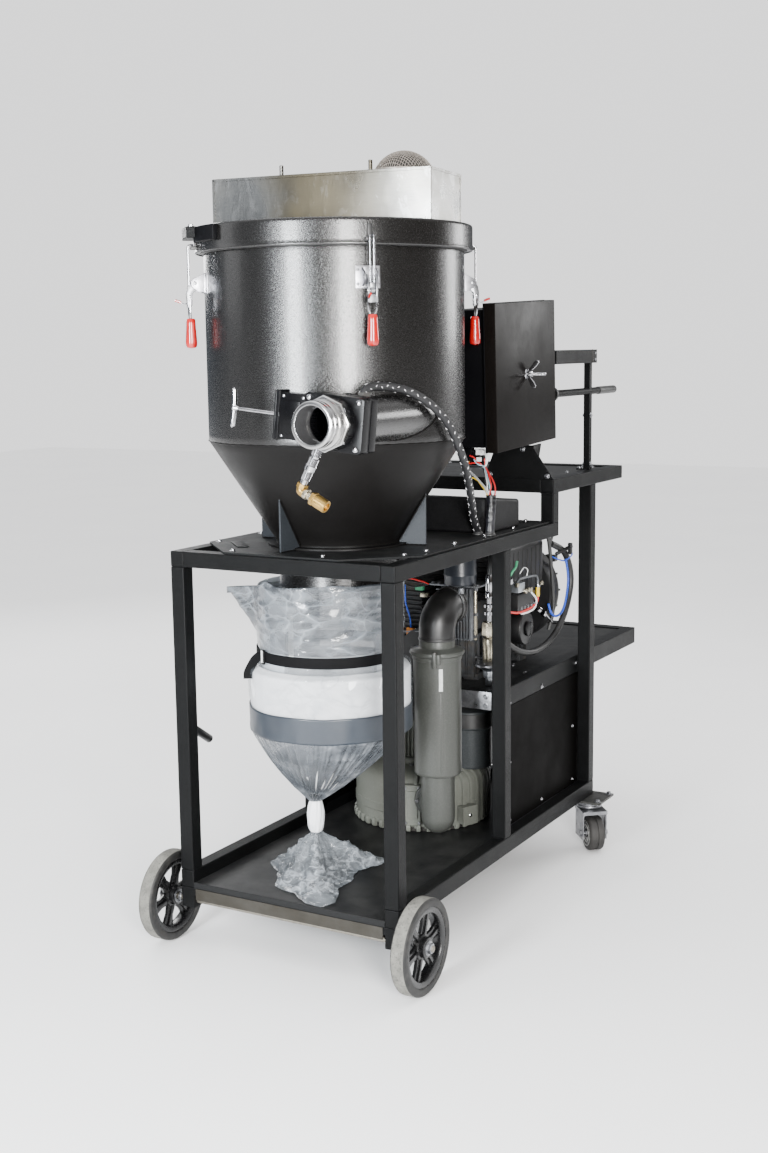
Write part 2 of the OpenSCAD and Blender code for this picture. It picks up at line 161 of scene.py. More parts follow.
class at:
    """Within it, points are in a local frame at (x, y, z) turned by rz, ry, rx degrees."""

    def __init__(s, x=0, y=0, z=0, rz=0, ry=0, rx=0):
        r = math.radians
        s.m = Matrix.Translation((x, y, z)) @ Matrix.Rotation(r(rz), 4, "Z") @ Matrix.Rotation(r(ry), 4, "Y") @ Matrix.Rotation(r(rx), 4, "X")

    def __enter__(s):
        s.old = XF[0]
        XF[0] = s.old @ s.m

    def __exit__(s, *a):
        XF[0] = s.old


# ------------------------------------------------------------------ camera
yaw, pitch, roll = math.radians(29.72), math.radians(-8.79), math.radians(-0.73)
fwd = Vector((-math.sin(yaw) * math.cos(pitch), math.cos(yaw) * math.cos(pitch), math.sin(pitch)))
rgt = Vector((math.cos(yaw), math.sin(yaw), 0))
upv = rgt.cross(fwd)
r2 = rgt * math.cos(roll) + upv * math.sin(roll)
u2 = -rgt * math.sin(roll) + upv * math.cos(roll)
cam_data = bpy.data.cameras.new("cam")
cam_data.lens = 1489.04 * 36 / 1153
cam_data.sensor_width = 36
cam_data.dof.use_dof = False
cam = bpy.data.objects.new("cam", cam_data)
bpy.context.scene.collection.objects.link(cam)
m3 = Matrix((r2, u2, -fwd)).transposed()
cam.matrix_world = Matrix.Translation(W(1906.1, -2842.7, 1478.8)) @ m3.to_4x4()
bpy.context.scene.camera = cam


# ------------------------------------------------------------------ materials
class Mat:
    def __init__(s, name, base=(0.5, 0.5, 0.5), rough=0.5, metal=0.0, spec=0.5, coat=0.0, coat_rough=0.1):
        s.m = bpy.data.materials.new(name)
        s.m.use_nodes = True
        s.nt = s.m.node_tree
        s.nt.nodes.clear()
        s.out = s.nt.nodes.new("ShaderNodeOutputMaterial")
        s.b = s.nt.nodes.new("ShaderNodeBsdfPrincipled")
        s.link(s.b.outputs[0], s.out.inputs[0])
        s.tc = s.nt.nodes.new("ShaderNodeTexCoord")
        s.b.inputs["Base Color"].default_value = (*base, 1)
        s.b.inputs["Roughness"].default_value = rough
        s.b.inputs["Metallic"].default_value = metal
        s.b.inputs["Specular IOR Level"].default_value = spec
        s.b.inputs["Coat Weight"].default_value = coat
        s.b.inputs["Coat Roughness"].default_value = coat_rough
        s._h = None

    def link(s, a, b):
        s.nt.links.new(a, b)

    def vec(s, scale=(1, 1, 1), uv=False, rot=(0, 0, 0)):
        mp = s.nt.nodes.new("ShaderNodeMapping")
        mp.inputs["Scale"].default_value = scale
        mp.inputs["Rotation"].default_value = rot
        s.link(s.tc.outputs["UV" if uv else "Object"], mp.inputs["Vector"])
        return mp.outputs[0]

    def noise(s, scale, detail=4, rough=0.55, dist=0.0, vec=None):
        n = s.nt.nodes.new("ShaderNodeTexNoise")
        n.inputs["Scale"].default_value = scale
        n.inputs["Detail"].default_value = detail
        n.inputs["Roughness"].default_value = rough
        n.inputs["Distortion"].default_value = dist
        s.link(vec if vec is not None else s.tc.outputs["Object"], n.inputs["Vector"])
        return n.outputs["Fac"]

    def warp(s, scale, amount, src):
        n = s.nt.nodes.new("ShaderNodeTexNoise")
        n.inputs["Scale"].default_value = scale
        n.inputs["Detail"].default_value = 3
        s.link(src, n.inputs["Vector"])
        d = s.nt.nodes.new("ShaderNodeVectorMath")
        d.operation = "SUBTRACT"
        s.link(n.outputs["Color"], d.inputs[0])
        d.inputs[1].default_value = (0.5, 0.5, 0.5)
        k = s.nt.nodes.new("ShaderNodeVectorMath")
        k.operation = "MULTIPLY_ADD"
        s.link(d.outputs[0], k.inputs[0])
        k.inputs[1].default_value = (amount,) * 3
        s.link(src, k.inputs[2])
        return k.outputs[0]

    def voronoi(s, scale, feature="F1", out="Distance", vec=None, rand=1.0):
        n = s.nt.nodes.new("ShaderNodeTexVoronoi")
        n.feature = feature
        n.inputs["Scale"].default_value = scale
        n.inputs["Randomness"].default_value = rand
        s.link(vec if vec is not None else s.tc.outputs["Object"], n.inputs["Vector"])
        return n.outputs[out]

    def wave(s, scale, axis="Z", dist=0.0, vec=None, kind="BANDS"):
        n = s.nt.nodes.new("ShaderNodeTexWave")
        n.wave_type = kind
        if kind == "BANDS":
            n.bands_direction = axis
        n.inputs["Scale"].default_value = scale
        n.inputs["Distortion"].default_value = dist
        s.link(vec if vec is not None else s.tc.outputs["Object"], n.inputs["Vector"])
        return n.outputs["Fac"]

    def ramp(s, fac, stops, interp="LINEAR"):
        r = s.nt.nodes.new("ShaderNodeValToRGB")
        r.color_ramp.interpolation = interp
        e = r.color_ramp.elements
        while len(e) < len(stops):
            e.new(0.5)
        for k, (p, c) in enumerate(stops):
            e[k].position = p
            c = c if hasattr(c, "__len__") else (c, c, c)
            e[k].color = (*c[:3], 1)
        s.link(fac, r.inputs[0])
        return r.outputs[0]

    def math(s, op, a, b=0.5, clamp=False):
        n = s.nt.nodes.new("ShaderNodeMath")
        n.operation = op
        n.use_clamp = clamp
        for k, v in ((0, a), (1, b)):
            if isinstance(v, (int, float)):
                n.inputs[k].default_value = v
            else:
                s.link(v, n.inputs[k])
        return n.outputs[0]

    def mix(s, fac, a, b, kind="MIX"):
        n = s.nt.nodes.new("ShaderNodeMix")
        n.data_type = "RGBA"
        n.blend_type = kind
        n.clamp_factor = True
        for sock, v in ((n.inputs["Factor"], fac), (n.inputs["A"], a), (n.inputs["B"], b)):
            pass
        ins = [i for i in n.inputs if i.enabled]
        fa, aa, bb = ins[0], ins[1], ins[2]
        for sock, v in ((fa, fac), (aa, a), (bb, b)):
            if isinstance(v, (int, float)):
                sock.default_value = v if sock == fa else (v, v, v, 1)
            elif isinstance(v, (tuple, list)):
                sock.default_value = (*v[:3], 1)
            else:
                s.link(v, sock)
        return [o for o in n.outputs if o.enabled][0]

    def sep(s, src=None):
        n = s.nt.nodes.new("ShaderNodeSeparateXYZ")
        s.link(src if src is not None else s.tc.outputs["Object"], n.inputs[0])
        return n.outputs

    def normal_z(s):
        g = s.nt.nodes.new("ShaderNodeNewGeometry")
        n = s.nt.nodes.new("ShaderNodeSeparateXYZ")
        s.link(g.outputs["Normal"], n.inputs[0])
        return n.outputs[2]

    def color(s, c):
        s.link(c, s.b.inputs["Base Color"])
        return s

    def rough(s, r):
        s.link(r, s.b.inputs["Roughness"])
        return s

    def bump(s, h, strength=0.3, dist=0.001):
        n = s.nt.nodes.new("ShaderNodeBump")
        n.inputs["Strength"].default_value = strength
        n.inputs["Distance"].default_value = dist
        s.link(h, n.inputs["Height"])
        if s._h is not None:
            s.link(s._h, n.inputs["Normal"])
        s._h = n.outputs[0]
        s.link(s._h, s.b.inputs["Normal"])
        return s


def powder(name, base, light, rough=0.42, grain=900, strength=0.35, dust=0.0, spec=0.5):
    """Textured powder coat: fine pebble grain, faint colour drift, optional dust on upward faces."""
    m = Mat(name, base, rough, spec=spec)
    g = m.noise(grain, 2, 0.6)
    big = m.noise(9, 4, 0.6)
    c = m.mix(m.ramp(g, [(0.45, 0), (0.72, 1)]), base, light)
    c = m.mix(m.ramp(big, [(0.35, 0), (0.75, 0.5)]), c, tuple(0.5 * (a + b) for a, b in zip(base, light)))
    if dust:
        up = m.ramp(m.normal_z(), [(0.6, 0), (0.95, 1)])
        d = m.math("MULTIPLY", up, m.ramp(m.noise(14, 6, 0.65), [(0.4, 0), (0.75, dust)]))
        c = m.mix(d, c, (0.30, 0.29, 0.27))
    m.color(c)
    m.rough(m.ramp(big, [(0.3, rough - 0.06), (0.75, rough + 0.1)]))
    m.bump(g, strength, 0.0006)
    return m


def metal(name, base, rough=0.3, brush=None, dirt=0.0, dirt_col=(0.12, 0.1, 0.08), grain=60):
    m = Mat(name, base, rough, 1.0)
    n = m.noise(grain, 5, 0.6)
    c = m.mix(m.ramp(n, [(0.35, 0), (0.7, 1)]), base, tuple(0.72 * v for v in base))
    if dirt:
        d = m.ramp(m.noise(35, 7, 0.7), [(0.5, 0), (0.68, dirt)])
        c = m.mix(d, c, dirt_col)
        m.rough(m.ramp(m.noise(35, 7, 0.7), [(0.3, rough), (0.7, rough + 0.3)]))
    else:
        m.rough(m.ramp(n, [(0.3, rough - 0.06), (0.7, rough + 0.12)]))
    m.color(c)
    if brush:
        b = m.noise(300, 3, 0.6, vec=m.vec(brush))
        m.bump(b, 0.12, 0.0004)
    else:
        m.bump(m.noise(grain * 6, 3), 0.08, 0.0004)
    return m


MT = {}
MT["frame"] = powder("frame_black", (0.0016, 0.00165, 0.0017), (0.0100, 0.0105, 0.0110), 0.36, 850, 0.9, spec=0.08)
MT["deck"] = powder("deck_grey", (0.0055, 0.0058, 0.006), (0.017, 0.018, 0.019), 0.45, 800, 0.5, dust=0.05, spec=0.1)
MT["tray"] = powder("tray_dusty", (0.0048, 0.005, 0.0053), (0.016, 0.0165, 0.017), 0.42, 700, 0.5, dust=0.05, spec=0.15)
MT["panel"] = powder("panel_black", (0.0012, 0.001, 0.0009), (0.0025, 0.0022, 0.002), 0.55, 1200, 0.2, spec=0.03)
MT["wrinkle"] = powder("wrinkle_black", (0.0025, 0.0025, 0.0028), (0.014, 0.014, 0.015), 0.45, 420, 0.9, spec=0.15)
MT["cone"] = powder("cone_black", (0.0030, 0.0027, 0.0026), (0.0075, 0.007, 0.0068), 0.40, 520, 0.3, spec=0.11)
MT["zinc"] = metal("zinc", (0.30, 0.305, 0.32), 0.22, dirt=0.55, dirt_col=(0.05, 0.05, 0.05))
MT["chrome"] = metal("bright_steel", (0.50, 0.50, 0.52), 0.12)
MT["alu"] = metal("turned_aluminium", (0.80, 0.80, 0.81), 0.24, brush=(1, 40, 1))
MT["brass"] = metal("brass", (0.50, 0.32, 0.095), 0.2, dirt=0.3, dirt_col=(0.25, 0.15, 0.05))
MT["plastic"] = powder("black_plastic", (0.0022, 0.0022, 0.0026), (0.004, 0.004, 0.0048), 0.24, 300, 0.05, spec=0.2)
MT["blower"] = powder("blower_grey", (0.105, 0.11, 0.094), (0.15, 0.156, 0.138), 0.5, 500, 0.35, spec=0.3)
MT["silencer"] = powder("silencer_grey", (0.038, 0.040, 0.036), (0.053, 0.055, 0.050), 0.38, 260, 0.12, spec=0.3)
MT["cast"] = metal("cast_metal", (0.085, 0.088, 0.092), 0.5, dirt=0.7)


def rubber_mat(name, base=(0.012, 0.012, 0.012), rough=0.38):
    m = Mat(name, base, rough)
    n = m.noise(25, 5, 0.6)
    m.color(m.mix(m.ramp(n, [(0.4, 0), (0.8, 1)]), base, tuple(v * 2.2 + 0.006 for v in base)))
    m.rough(m.ramp(n, [(0.3, rough), (0.8, rough + 0.2)]))
    m.bump(m.noise(600, 2), 0.1, 0.0004)
    return m


MT["rubber"] = rubber_mat("black_rubber")


def red_mat():
    m = Mat("red_grip", (0.372, 0.003, 0.003), 0.2, coat=0.6, coat_rough=0.08)
    n = m.noise(40, 3)
    m.color(m.mix(m.ramp(n, [(0.3, 0), (0.8, 1)]), (0.396, 0.00375, 0.0036), (0.252, 0.002, 0.0024)))
    m.bump(m.noise(120, 2), 0.12, 0.001)
    return m


MT["red"] = red_mat()


def galv_mat():
    m = Mat("galvanised", (0.5, 0.5, 0.5), 0.3, 1.0)
    fine = m.noise(40, 5, 0.6, vec=m.vec((1, 1, 9)))
    big = m.noise(6.5, 3, 0.5)
    scr = m.noise(16, 6, 0.72, 0.0, m.warp(5, 0.25, m.vec((1.6, 1, 0.7))))
    c = m.mix(m.ramp(fine, [(0.3, 0), (0.7, 1)]), (0.40, 0.405, 0.41), (0.52, 0.52, 0.51))
    c = m.mix(m.ramp(big, [(0.38, 0), (0.66, 0.75)]), c, (0.36, 0.34, 0.29))
    c = m.mix(m.ramp(scr, [(0.555, 0), (0.60, 0.55)]), c, (0.70, 0.70, 0.70))
    # painted reflection and shade across the box's width: the metal is half darkened at the left end, darkened to a
    # warm near-black through the middle, left full bright near the right corner and a little darker again on the right
    # end face
    x = m.math("ADD", m.math("MULTIPLY", m.sep()[0], 1.6), 0.5)
    x = m.math("ADD", x, m.math("MULTIPLY", m.math("SUBTRACT", big, 0.5), 0.35))
    z = m.ramp(x, [(0.0, 0.50), (0.22, 0.34), (0.42, 0.07), (0.66, 0.09), (0.84, 0.30), (0.95, 1.0), (1.0, 0.8)])
    c = m.mix(z, m.mix(m.ramp(x, [(0.25, 0), (0.5, 1), (0.78, 1), (0.9, 0)]), (0.02, 0.021, 0.022), (0.035, 0.027, 0.012)), c)
    m.color(c)
    m.rough(m.ramp(big, [(0.25, 0.20), (0.75, 0.38)]))
    m.bump(big, 0.12, 0.004)
    m.bump(scr, 0.25, 0.0012)
    return m


def drum_mat(name, base, light):
    """Semi-gloss black with a fine grain that sparkles where the lamps reflect."""
    m = Mat(name, base, 0.24, spec=0.55, coat=0.35, coat_rough=0.16)
    g = m.noise(420, 2, 0.55)
    m.color(m.mix(m.ramp(g, [(0.5, 0), (0.75, 1)]), base, light))
    m.rough(m.ramp(m.noise(260, 2), [(0.35, 0.22), (0.7, 0.29)]))
    m.bump(g, 0.5, 0.0009)
    return m


def turned_mat():
    m = Mat("turned_ring", (0.66, 0.66, 0.67), 0.22, 1.0)
    n = m.noise(9, 3)
    m.color(m.mix(m.ramp(n, [(0.35, 0), (0.7, 1)]), (0.50, 0.50, 0.51), (0.26, 0.25, 0.23)))
    m.rough(m.ramp(n, [(0.3, 0.16), (0.75, 0.28)]))
    return m


MT["galv"] = galv_mat()
MT["drum"] = drum_mat("drum_black", (0.0028, 0.0026, 0.0025), (0.0075, 0.007, 0.0068))


def tyre_mat():
    m = Mat("dusty_tread", (0.3, 0.29, 0.27), 0.85)
    n = m.noise(30, 8, 0.7)
    f = m.noise(160, 6, 0.7)
    c = m.mix(m.ramp(n, [(0.35, 0), (0.68, 1)]), (0.17, 0.166, 0.146), (0.085, 0.083, 0.074))
    c = m.mix(m.ramp(f, [(0.52, 0), (0.66, 0.75)]), c, (0.032, 0.032, 0.030))
    m.color(c)
    m.bump(f, 0.5, 0.002)
    m.bump(n, 0.4, 0.004)
    return m


MT["tread"] = tyre_mat()


def wall_mat():
    m = Mat("tyre_wall", (0.02, 0.02, 0.02), 0.6)
    n = m.noise(60, 8, 0.7)
    m.color(m.mix(m.ramp(n, [(0.45, 0), (0.7, 0.8)]), (0.006, 0.006, 0.006), (0.030, 0.028, 0.025)))
    m.bump(m.noise(250, 4), 0.3, 0.001)
    return m


MT["wall"] = wall_mat()


def film_mat(name, col, highlight_col, alpha, rough=0.2, scale=9.0, crumple=0.5):
    """Clear sheet: greyish where it lies flat, with crisp crumple facets; a pale painted highlight lies along the
    creases and towards each facet's rim.
    """
    m = Mat(name, col, rough, coat=0.3, coat_rough=0.08)
    v = m.warp(scale * 1.3, 0.11, m.vec((1, 1, 1.8)))
    wob = m.noise(scale * 0.8, 3, 0.5, 0.8)
    va = m.voronoi(scale * 2.2, "F1", "Distance", v)
    vb = m.voronoi(scale * 5.2, "F1", "Distance", m.warp(scale * 4, 0.05, v))
    ea = m.ramp(m.voronoi(scale * 2.2, "DISTANCE_TO_EDGE", "Distance", v), [(0.0, 0.55), (0.035, 0.16), (0.16, 0.0)])
    eb = m.ramp(vb, [(0.35, 0.0), (0.75, 0.42)])
    # painted highlight: the pale colour follows the creases (ea, eb) and each facet's rim (body); the crease mask also
    # makes the creases more opaque
    cr = m.math("MULTIPLY", m.math("ADD", ea, eb, True), m.ramp(wob, [(0.40, 0.12), (0.60, 1.0)]))
    body = m.math("MULTIPLY", m.ramp(va, [(0.1, 0.0), (0.7, 0.42)]), m.ramp(wob, [(0.35, 1.0), (0.65, 0.35)]))
    highlight_mix = m.math("ADD", cr, body, True)
    m.color(m.mix(highlight_mix, col, highlight_col))
    lo, hi = alpha
    m.link(m.math("ADD", m.math("MULTIPLY", cr, hi - lo), m.math("MULTIPLY", m.ramp(wob, [(0.3, 0.85), (0.7, 1.15)]), lo), True), m.b.inputs["Alpha"])
    m.bump(va, crumple, 0.009)
    m.bump(vb, crumple * 0.7, 0.0035)
    m.bump(wob, crumple * 0.6, 0.008)
    return m


MT["film"] = film_mat("clear_film", (0.030, 0.034, 0.040), (0.20, 0.222, 0.245), (0.66, 0.95), 0.15, 6.0, 0.55)
MT["whitefilm"] = film_mat("white_film", (0.058, 0.065, 0.075), (0.19, 0.205, 0.225), (0.84, 0.98), 0.22, 5.0, 0.35)
MT["tailfilm"] = film_mat("tail_film", (0.13, 0.145, 0.16), (0.46, 0.50, 0.54), (0.45, 0.92), 0.14, 8.0, 0.6)
MT["filmthin"] = film_mat("thin_film", (0.10, 0.11, 0.125), (0.30, 0.325, 0.35), (0.22, 0.5), 0.16, 6.0, 0.5)


def band_mat():
    m = Mat("blue_grey_band", (0.13, 0.16, 0.21), 0.35)
    n = m.noise(12, 4)
    m.color(m.mix(m.ramp(n, [(0.3, 0), (0.75, 1)]), (0.015, 0.020, 0.028), (0.025, 0.032, 0.042)))
    m.bump(m.noise(18, 3), 0.3, 0.003)
    return m


MT["band"] = band_mat()


def strip_mat():
    m = Mat("raw_strip", (0.36, 0.34, 0.29), 0.5, 0.6)
    n = m.noise(9, 6, 0.65)
    f = m.noise(60, 5, 0.65)
    c = m.mix(m.ramp(n, [(0.35, 0), (0.62, 1)]), (0.045, 0.042, 0.036), (0.024, 0.021, 0.015))
    c = m.mix(m.ramp(f, [(0.5, 0), (0.7, 0.6)]), c, (0.032, 0.027, 0.02))
    m.color(c)
    m.bump(f, 0.2, 0.001)
    return m


MT["strip"] = strip_mat()


def plain(name, col, rough=0.4, metal_=0.0, grain=200, var=0.75, strength=0.1):
    m = Mat(name, col, rough, metal_)
    n = m.noise(grain, 4)
    m.color(m.mix(m.ramp(n, [(0.35, 0), (0.7, 1)]), col, tuple(var * v for v in col)))
    m.rough(m.ramp(n, [(0.3, rough), (0.8, min(1, rough + 0.12))]))
    m.bump(n, strength, 0.0004)
    return m


def clear_mat():
    m = Mat("clear_sleeve_film", (0.80, 0.84, 0.88), 0.06, coat=0.0)
    fr = m.nt.nodes.new("ShaderNodeFresnel")
    fr.inputs["IOR"].default_value = 1.45
    n = m.noise(14, 4, 0.5, 0.5)
    a = m.math("ADD", m.math("MULTIPLY", fr.outputs[0], 1.1), m.ramp(n, [(0.4, 0.06), (0.75, 0.16)]), True)
    m.link(a, m.b.inputs["Alpha"])
    m.bump(n, 0.15, 0.003)
    return m


MT["clear"] = clear_mat()
MT["pack"] = plain("film_pack", (0.86, 0.88, 0.905), 0.3, grain=14, var=0.96, strength=0.25)
MT["packshade"] = plain("settled_dust", (0.62, 0.63, 0.63), 0.8, grain=40, var=0.85)
MT["silencer2"] = powder("silencer_blue_grey", (0.030, 0.034, 0.036), (0.044, 0.048, 0.05), 0.45, 260, 0.12, spec=0.2)
MT["tag"] = plain("bare_tag", (0.62, 0.63, 0.62), 0.25, grain=40)
MT["zincdark"] = metal("dark_zinc", (0.14, 0.136, 0.13), 0.35, dirt=0.5)
MT["finsilver"] = metal("cast_fins", (0.20, 0.21, 0.225), 0.36, dirt=0.4)
MT["canister"] = plain("canister_grey", (0.016, 0.019, 0.025), 0.28, grain=30)
MT["muffler"] = metal("muffler_steel", (0.12, 0.105, 0.09), 0.5, dirt=0.6)
MT["shroud"] = plain("shroud_black", (0.004, 0.004, 0.0045), 0.42, grain=300, strength=0.2)
MT["boxblack"] = powder("box_black", (0.0016, 0.0016, 0.002), (0.004, 0.004, 0.005), 0.38, 700, 0.15, spec=0.08)
MT["panelbox"] = powder("cover_brown_black", (0.003, 0.0024, 0.0022), (0.006, 0.005, 0.0044), 0.34, 700, 0.1, spec=0.05)
MT["elbow"] = rubber_mat("elbow_rubber", (0.004, 0.0038, 0.0038), 0.34)
MT["wire_grey"] = plain("wire_grey", (0.45, 0.47, 0.48), 0.4)
MT["fleck"] = plain("pale_thread", (0.82, 0.80, 0.82), 0.5)


def braid_mat():
    m = Mat("braid_black", (0.004, 0.004, 0.0045), 0.5)
    v = m.vec((1, 1, 1), uv=True)
    s = m.sep(v)
    a1 = m.math("ADD", m.math("MULTIPLY", s[0], 16.0), m.math("MULTIPLY", s[1], 260.0))
    a2 = m.math("SUBTRACT", m.math("MULTIPLY", s[0], 16.0), m.math("MULTIPLY", s[1], 260.0))
    w1 = m.math("ABSOLUTE", m.math("SUBTRACT", m.math("FRACT", a1), 0.5))
    w2 = m.math("ABSOLUTE", m.math("SUBTRACT", m.math("FRACT", a2), 0.5))
    h = m.math("MAXIMUM", w1, w2)
    m.color(m.mix(m.ramp(h, [(0.28, 0), (0.5, 1)]), (0.002, 0.002, 0.0025), (0.012, 0.012, 0.014)))
    m.bump(h, 0.8, 0.0012)
    return m


MT["braid"] = braid_mat()


def sleeve_mat():
    m = Mat("sleeve_black", (0.012, 0.012, 0.014), 0.28)
    n = m.noise(60, 5, 0.6, 1.0)
    m.color(m.mix(m.ramp(n, [(0.4, 0), (0.75, 1)]), (0.003, 0.003, 0.0035), (0.014, 0.014, 0.02)))
    m.bump(n, 0.6, 0.003)
    return m


MT["sleeve"] = sleeve_mat()
MT["gloss"] = plain("gloss_black", (0.004, 0.004, 0.0045), 0.22, grain=60, strength=0.25)
MT["dark"] = plain("dark_inside", (0.02, 0.018, 0.016), 0.8)
MT["ringgrey"] = plain("ring_grey", (0.32, 0.32, 0.31), 0.45)
MT["boregrey"] = plain("bore_grey", (0.045, 0.045, 0.047), 0.5, grain=300)
MT["relief"] = metal("relief_grey", (0.55, 0.58, 0.62), 0.35)
MT["zincpale"] = metal("pale_zinc", (0.44, 0.44, 0.47), 0.2, dirt=0.35, dirt_col=(0.1, 0.1, 0.1))
MT["catch"] = plain("black_catch", (0.006, 0.006, 0.0065), 0.35)
MT["castertyre"] = rubber_mat("caster_tyre", (0.014, 0.013, 0.012), 0.55)
MT["plateblack"] = metal("dark_plate", (0.10, 0.10, 0.095), 0.4, dirt=0.6, dirt_col=(0.03, 0.028, 0.026))
MT["turned"] = turned_mat()
MT["axle"] = metal("dirty_rod", (0.30, 0.28, 0.24), 0.4, dirt=0.6)
MT["meshwire"] = metal("mesh_wire", (0.42, 0.38, 0.34), 0.4, dirt=0.3)
MT["brasspale"] = metal("pale_brass", (0.52, 0.47, 0.36), 0.16, dirt=0.25, dirt_col=(0.16, 0.13, 0.09), grain=140)
MT["gusset"] = powder("gusset_grey", (0.014, 0.016, 0.019), (0.042, 0.048, 0.055), 0.40, 700, 0.5, spec=0.2)
MT["strap"] = plain("webbing", (0.004, 0.004, 0.0045), 0.7, grain=500, strength=0.5)
MT["strap"].b.inputs["Specular IOR Level"].default_value = 0.08
MT["white"] = plain("white_plastic", (0.85, 0.86, 0.86), 0.35)
MT["wire_red"] = plain("wire_red", (0.6, 0.02, 0.02), 0.35)
MT["wire_blue"] = plain("wire_blue", (0.02, 0.08, 0.55), 0.35)
MT["wire_yellow"] = plain("wire_yellow", (0.75, 0.5, 0.02), 0.35)
MT["wire_black"] = plain("wire_black", (0.012, 0.012, 0.012), 0.4)
MT["wire_green"] = plain("wire_green", (0.05, 0.3, 0.15), 0.4)
MT["orange"] = plain("orange_plastic", (0.6, 0.2, 0.02), 0.4)
MT["paper"] = plain("bare_label", (0.78, 0.79, 0.80), 0.3, grain=20, var=0.94)
MT["teal"] = plain("light_blue_plastic", (0.3, 0.5, 0.6), 0.4)


# ------------------------------------------------------------------ mesh helpers
def _link(o):
    bpy.context.scene.collection.objects.link(o)
    return o


def finish_mesh(name, verts, faces, mat, body, smooth=35, uvs=None):
    me = bpy.data.meshes.new(name)
    me.from_pydata([tuple(v) for v in verts], [], faces)
    if uvs:
        lay = me.uv_layers.new(name="UVMap")
        k = 0
        for f in faces:
            for v in f:
                lay.data[k].uv = uvs[v]
                k += 1
    me.validate()
    me.update()
    o = _link(bpy.data.objects.new(name, me))
    o.data.materials.append(MT[mat].m if isinstance(mat, str) else mat)
    shade(o, smooth)
    if body:
        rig.ride(o, body)
    return o


def shade(o, angle=35):
    me = o.data
    bm = bmesh.new()
    bm.from_mesh(me)
    bmesh.ops.recalc_face_normals(bm, faces=bm.faces)
    lim = math.radians(angle)
    for f in bm.faces:
        f.smooth = True
    for e in bm.edges:
        if len(e.link_faces) == 2:
            e.smooth = e.calc_face_angle(0) < lim
    bm.to_mesh(me)
    bm.free()


def join(name, objs):
    """Joins mesh pieces of one body and one material list into one object."""
    objs = [o for o in objs if o]
    mats, verts, faces, idx = [], [], [], []
    for o in objs:
        me = o.data
        off = len(verts)
        verts += [tuple(v.co) for v in me.vertices]
        slots = []
        for m in me.materials:
            if m not in mats:
                mats.append(m)
            slots.append(mats.index(m))
        for p in me.polygons:
            faces.append([off + v for v in p.vertices])
            idx.append(slots[p.material_index] if slots else 0)
    me = bpy.data.meshes.new(name)
    me.from_pydata(verts, [], faces)
    for m in mats:
        me.materials.append(m)
    me.polygons.foreach_set("material_index", idx)
    me.validate()
    me.update()
    n = _link(bpy.data.objects.new(name, me))
    shade(n, 35)
    body = objs[0].get("_b")
    for o in objs:
        bpy.data.objects.remove(o, do_unlink=True)
    if body:
        n["_b"] = body
        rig.ride(n, body)
    return n


def bevel(o, width=0.002, segs=2, angle=40):
    md = o.modifiers.new("bevel", "BEVEL")
    md.width = width
    md.segments = segs
    md.limit_method = "ANGLE"
    md.angle_limit = math.radians(angle)
    md.harden_normals = False
    return o


def from_cad(node, mat, width=0.0015, segs=2, name=None, body=None, angle=40):
    """A finished copy of a CAD node: welded, with softened edges, standing in for it."""
    src = frame["nodes"][node]
    me = src.data.copy()
    me.name = (name or node) + "_v"
    o = _link(bpy.data.objects.new((name or node) + "_v", me))
    bm = bmesh.new()
    bm.from_mesh(me)
    bmesh.ops.remove_doubles(bm, verts=bm.verts, dist=1e-6)
    bmesh.ops.recalc_face_normals(bm, faces=bm.faces)
    bmesh.ops.dissolve_limit(bm, angle_limit=math.radians(0.5), verts=bm.verts, edges=bm.edges)
    bm.to_mesh(me)
    bm.free()
    me.materials.clear()
    me.materials.append(MT[mat].m)
    for p in me.polygons:
        p.material_index = 0
    if me.has_custom_normals:
        with bpy.context.temp_override(object=o, active_object=o, selected_objects=[o]):
            try:
                bpy.ops.mesh.customdata_custom_splitnormals_clear()
            except Exception:
                pass
    shade(o, 35)
    if width:
        bevel(o, width, segs, angle)
    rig.ride(o, body or body_name(node))
    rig.replaces(o, node)
    return o


def body_name(node):
    for b, ns in frame["record"]["behaviour"]["bodies"].items():
        if node in ns:
            return b
    return ROOT


def boxm(name, lo, hi, mat, body=ROOT, bev=0.0015, segs=2, rot=None, about=None):
    """A box from two corners of the working frame in mm, with softened edges."""
    x0, y0, z0 = lo
    x1, y1, z1 = hi
    v = [(x, y, z) for z in (z0, z1) for y in (y0, y1) for x in (x0, x1)]
    f = [(0, 2, 3, 1), (4, 5, 7, 6), (0, 1, 5, 4), (2, 6, 7, 3), (0, 4, 6, 2), (1, 3, 7, 5)]
    pts = [Vector(p) for p in v]
    if rot is not None:
        c = Vector(about if about is not None else [(a + b) / 2 for a, b in zip(lo, hi)])
        pts = [rot @ (p - c) + c for p in pts]
    o = finish_mesh(name, [W(*p) for p in pts], f, mat, None, 35)
    if bev:
        apply_bevel(o, bev, segs)
    if body:
        o["_b"] = body
        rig.ride(o, body)
    return o


def apply_bevel(o, w, segs=2, angle=35):
    bm = bmesh.new()
    bm.from_mesh(o.data)
    lim = math.radians(angle)
    es = [e for e in bm.edges if len(e.link_faces) == 2 and e.calc_face_angle(0) > lim]
    bmesh.ops.bevel(bm, geom=es, offset=w, segments=segs, profile=0.6, affect="EDGES", clamp_overlap=True)
    bm.to_mesh(o.data)
    bm.free()
    shade(o, 30)


def frame_of(d):
    d = Vector(d).normalized()
    a = Vector((0, 0, 1)) if abs(d.z) < 0.9 else Vector((0, 1, 0))
    s = a.cross(d).normalized()
    return s, d.cross(s), d


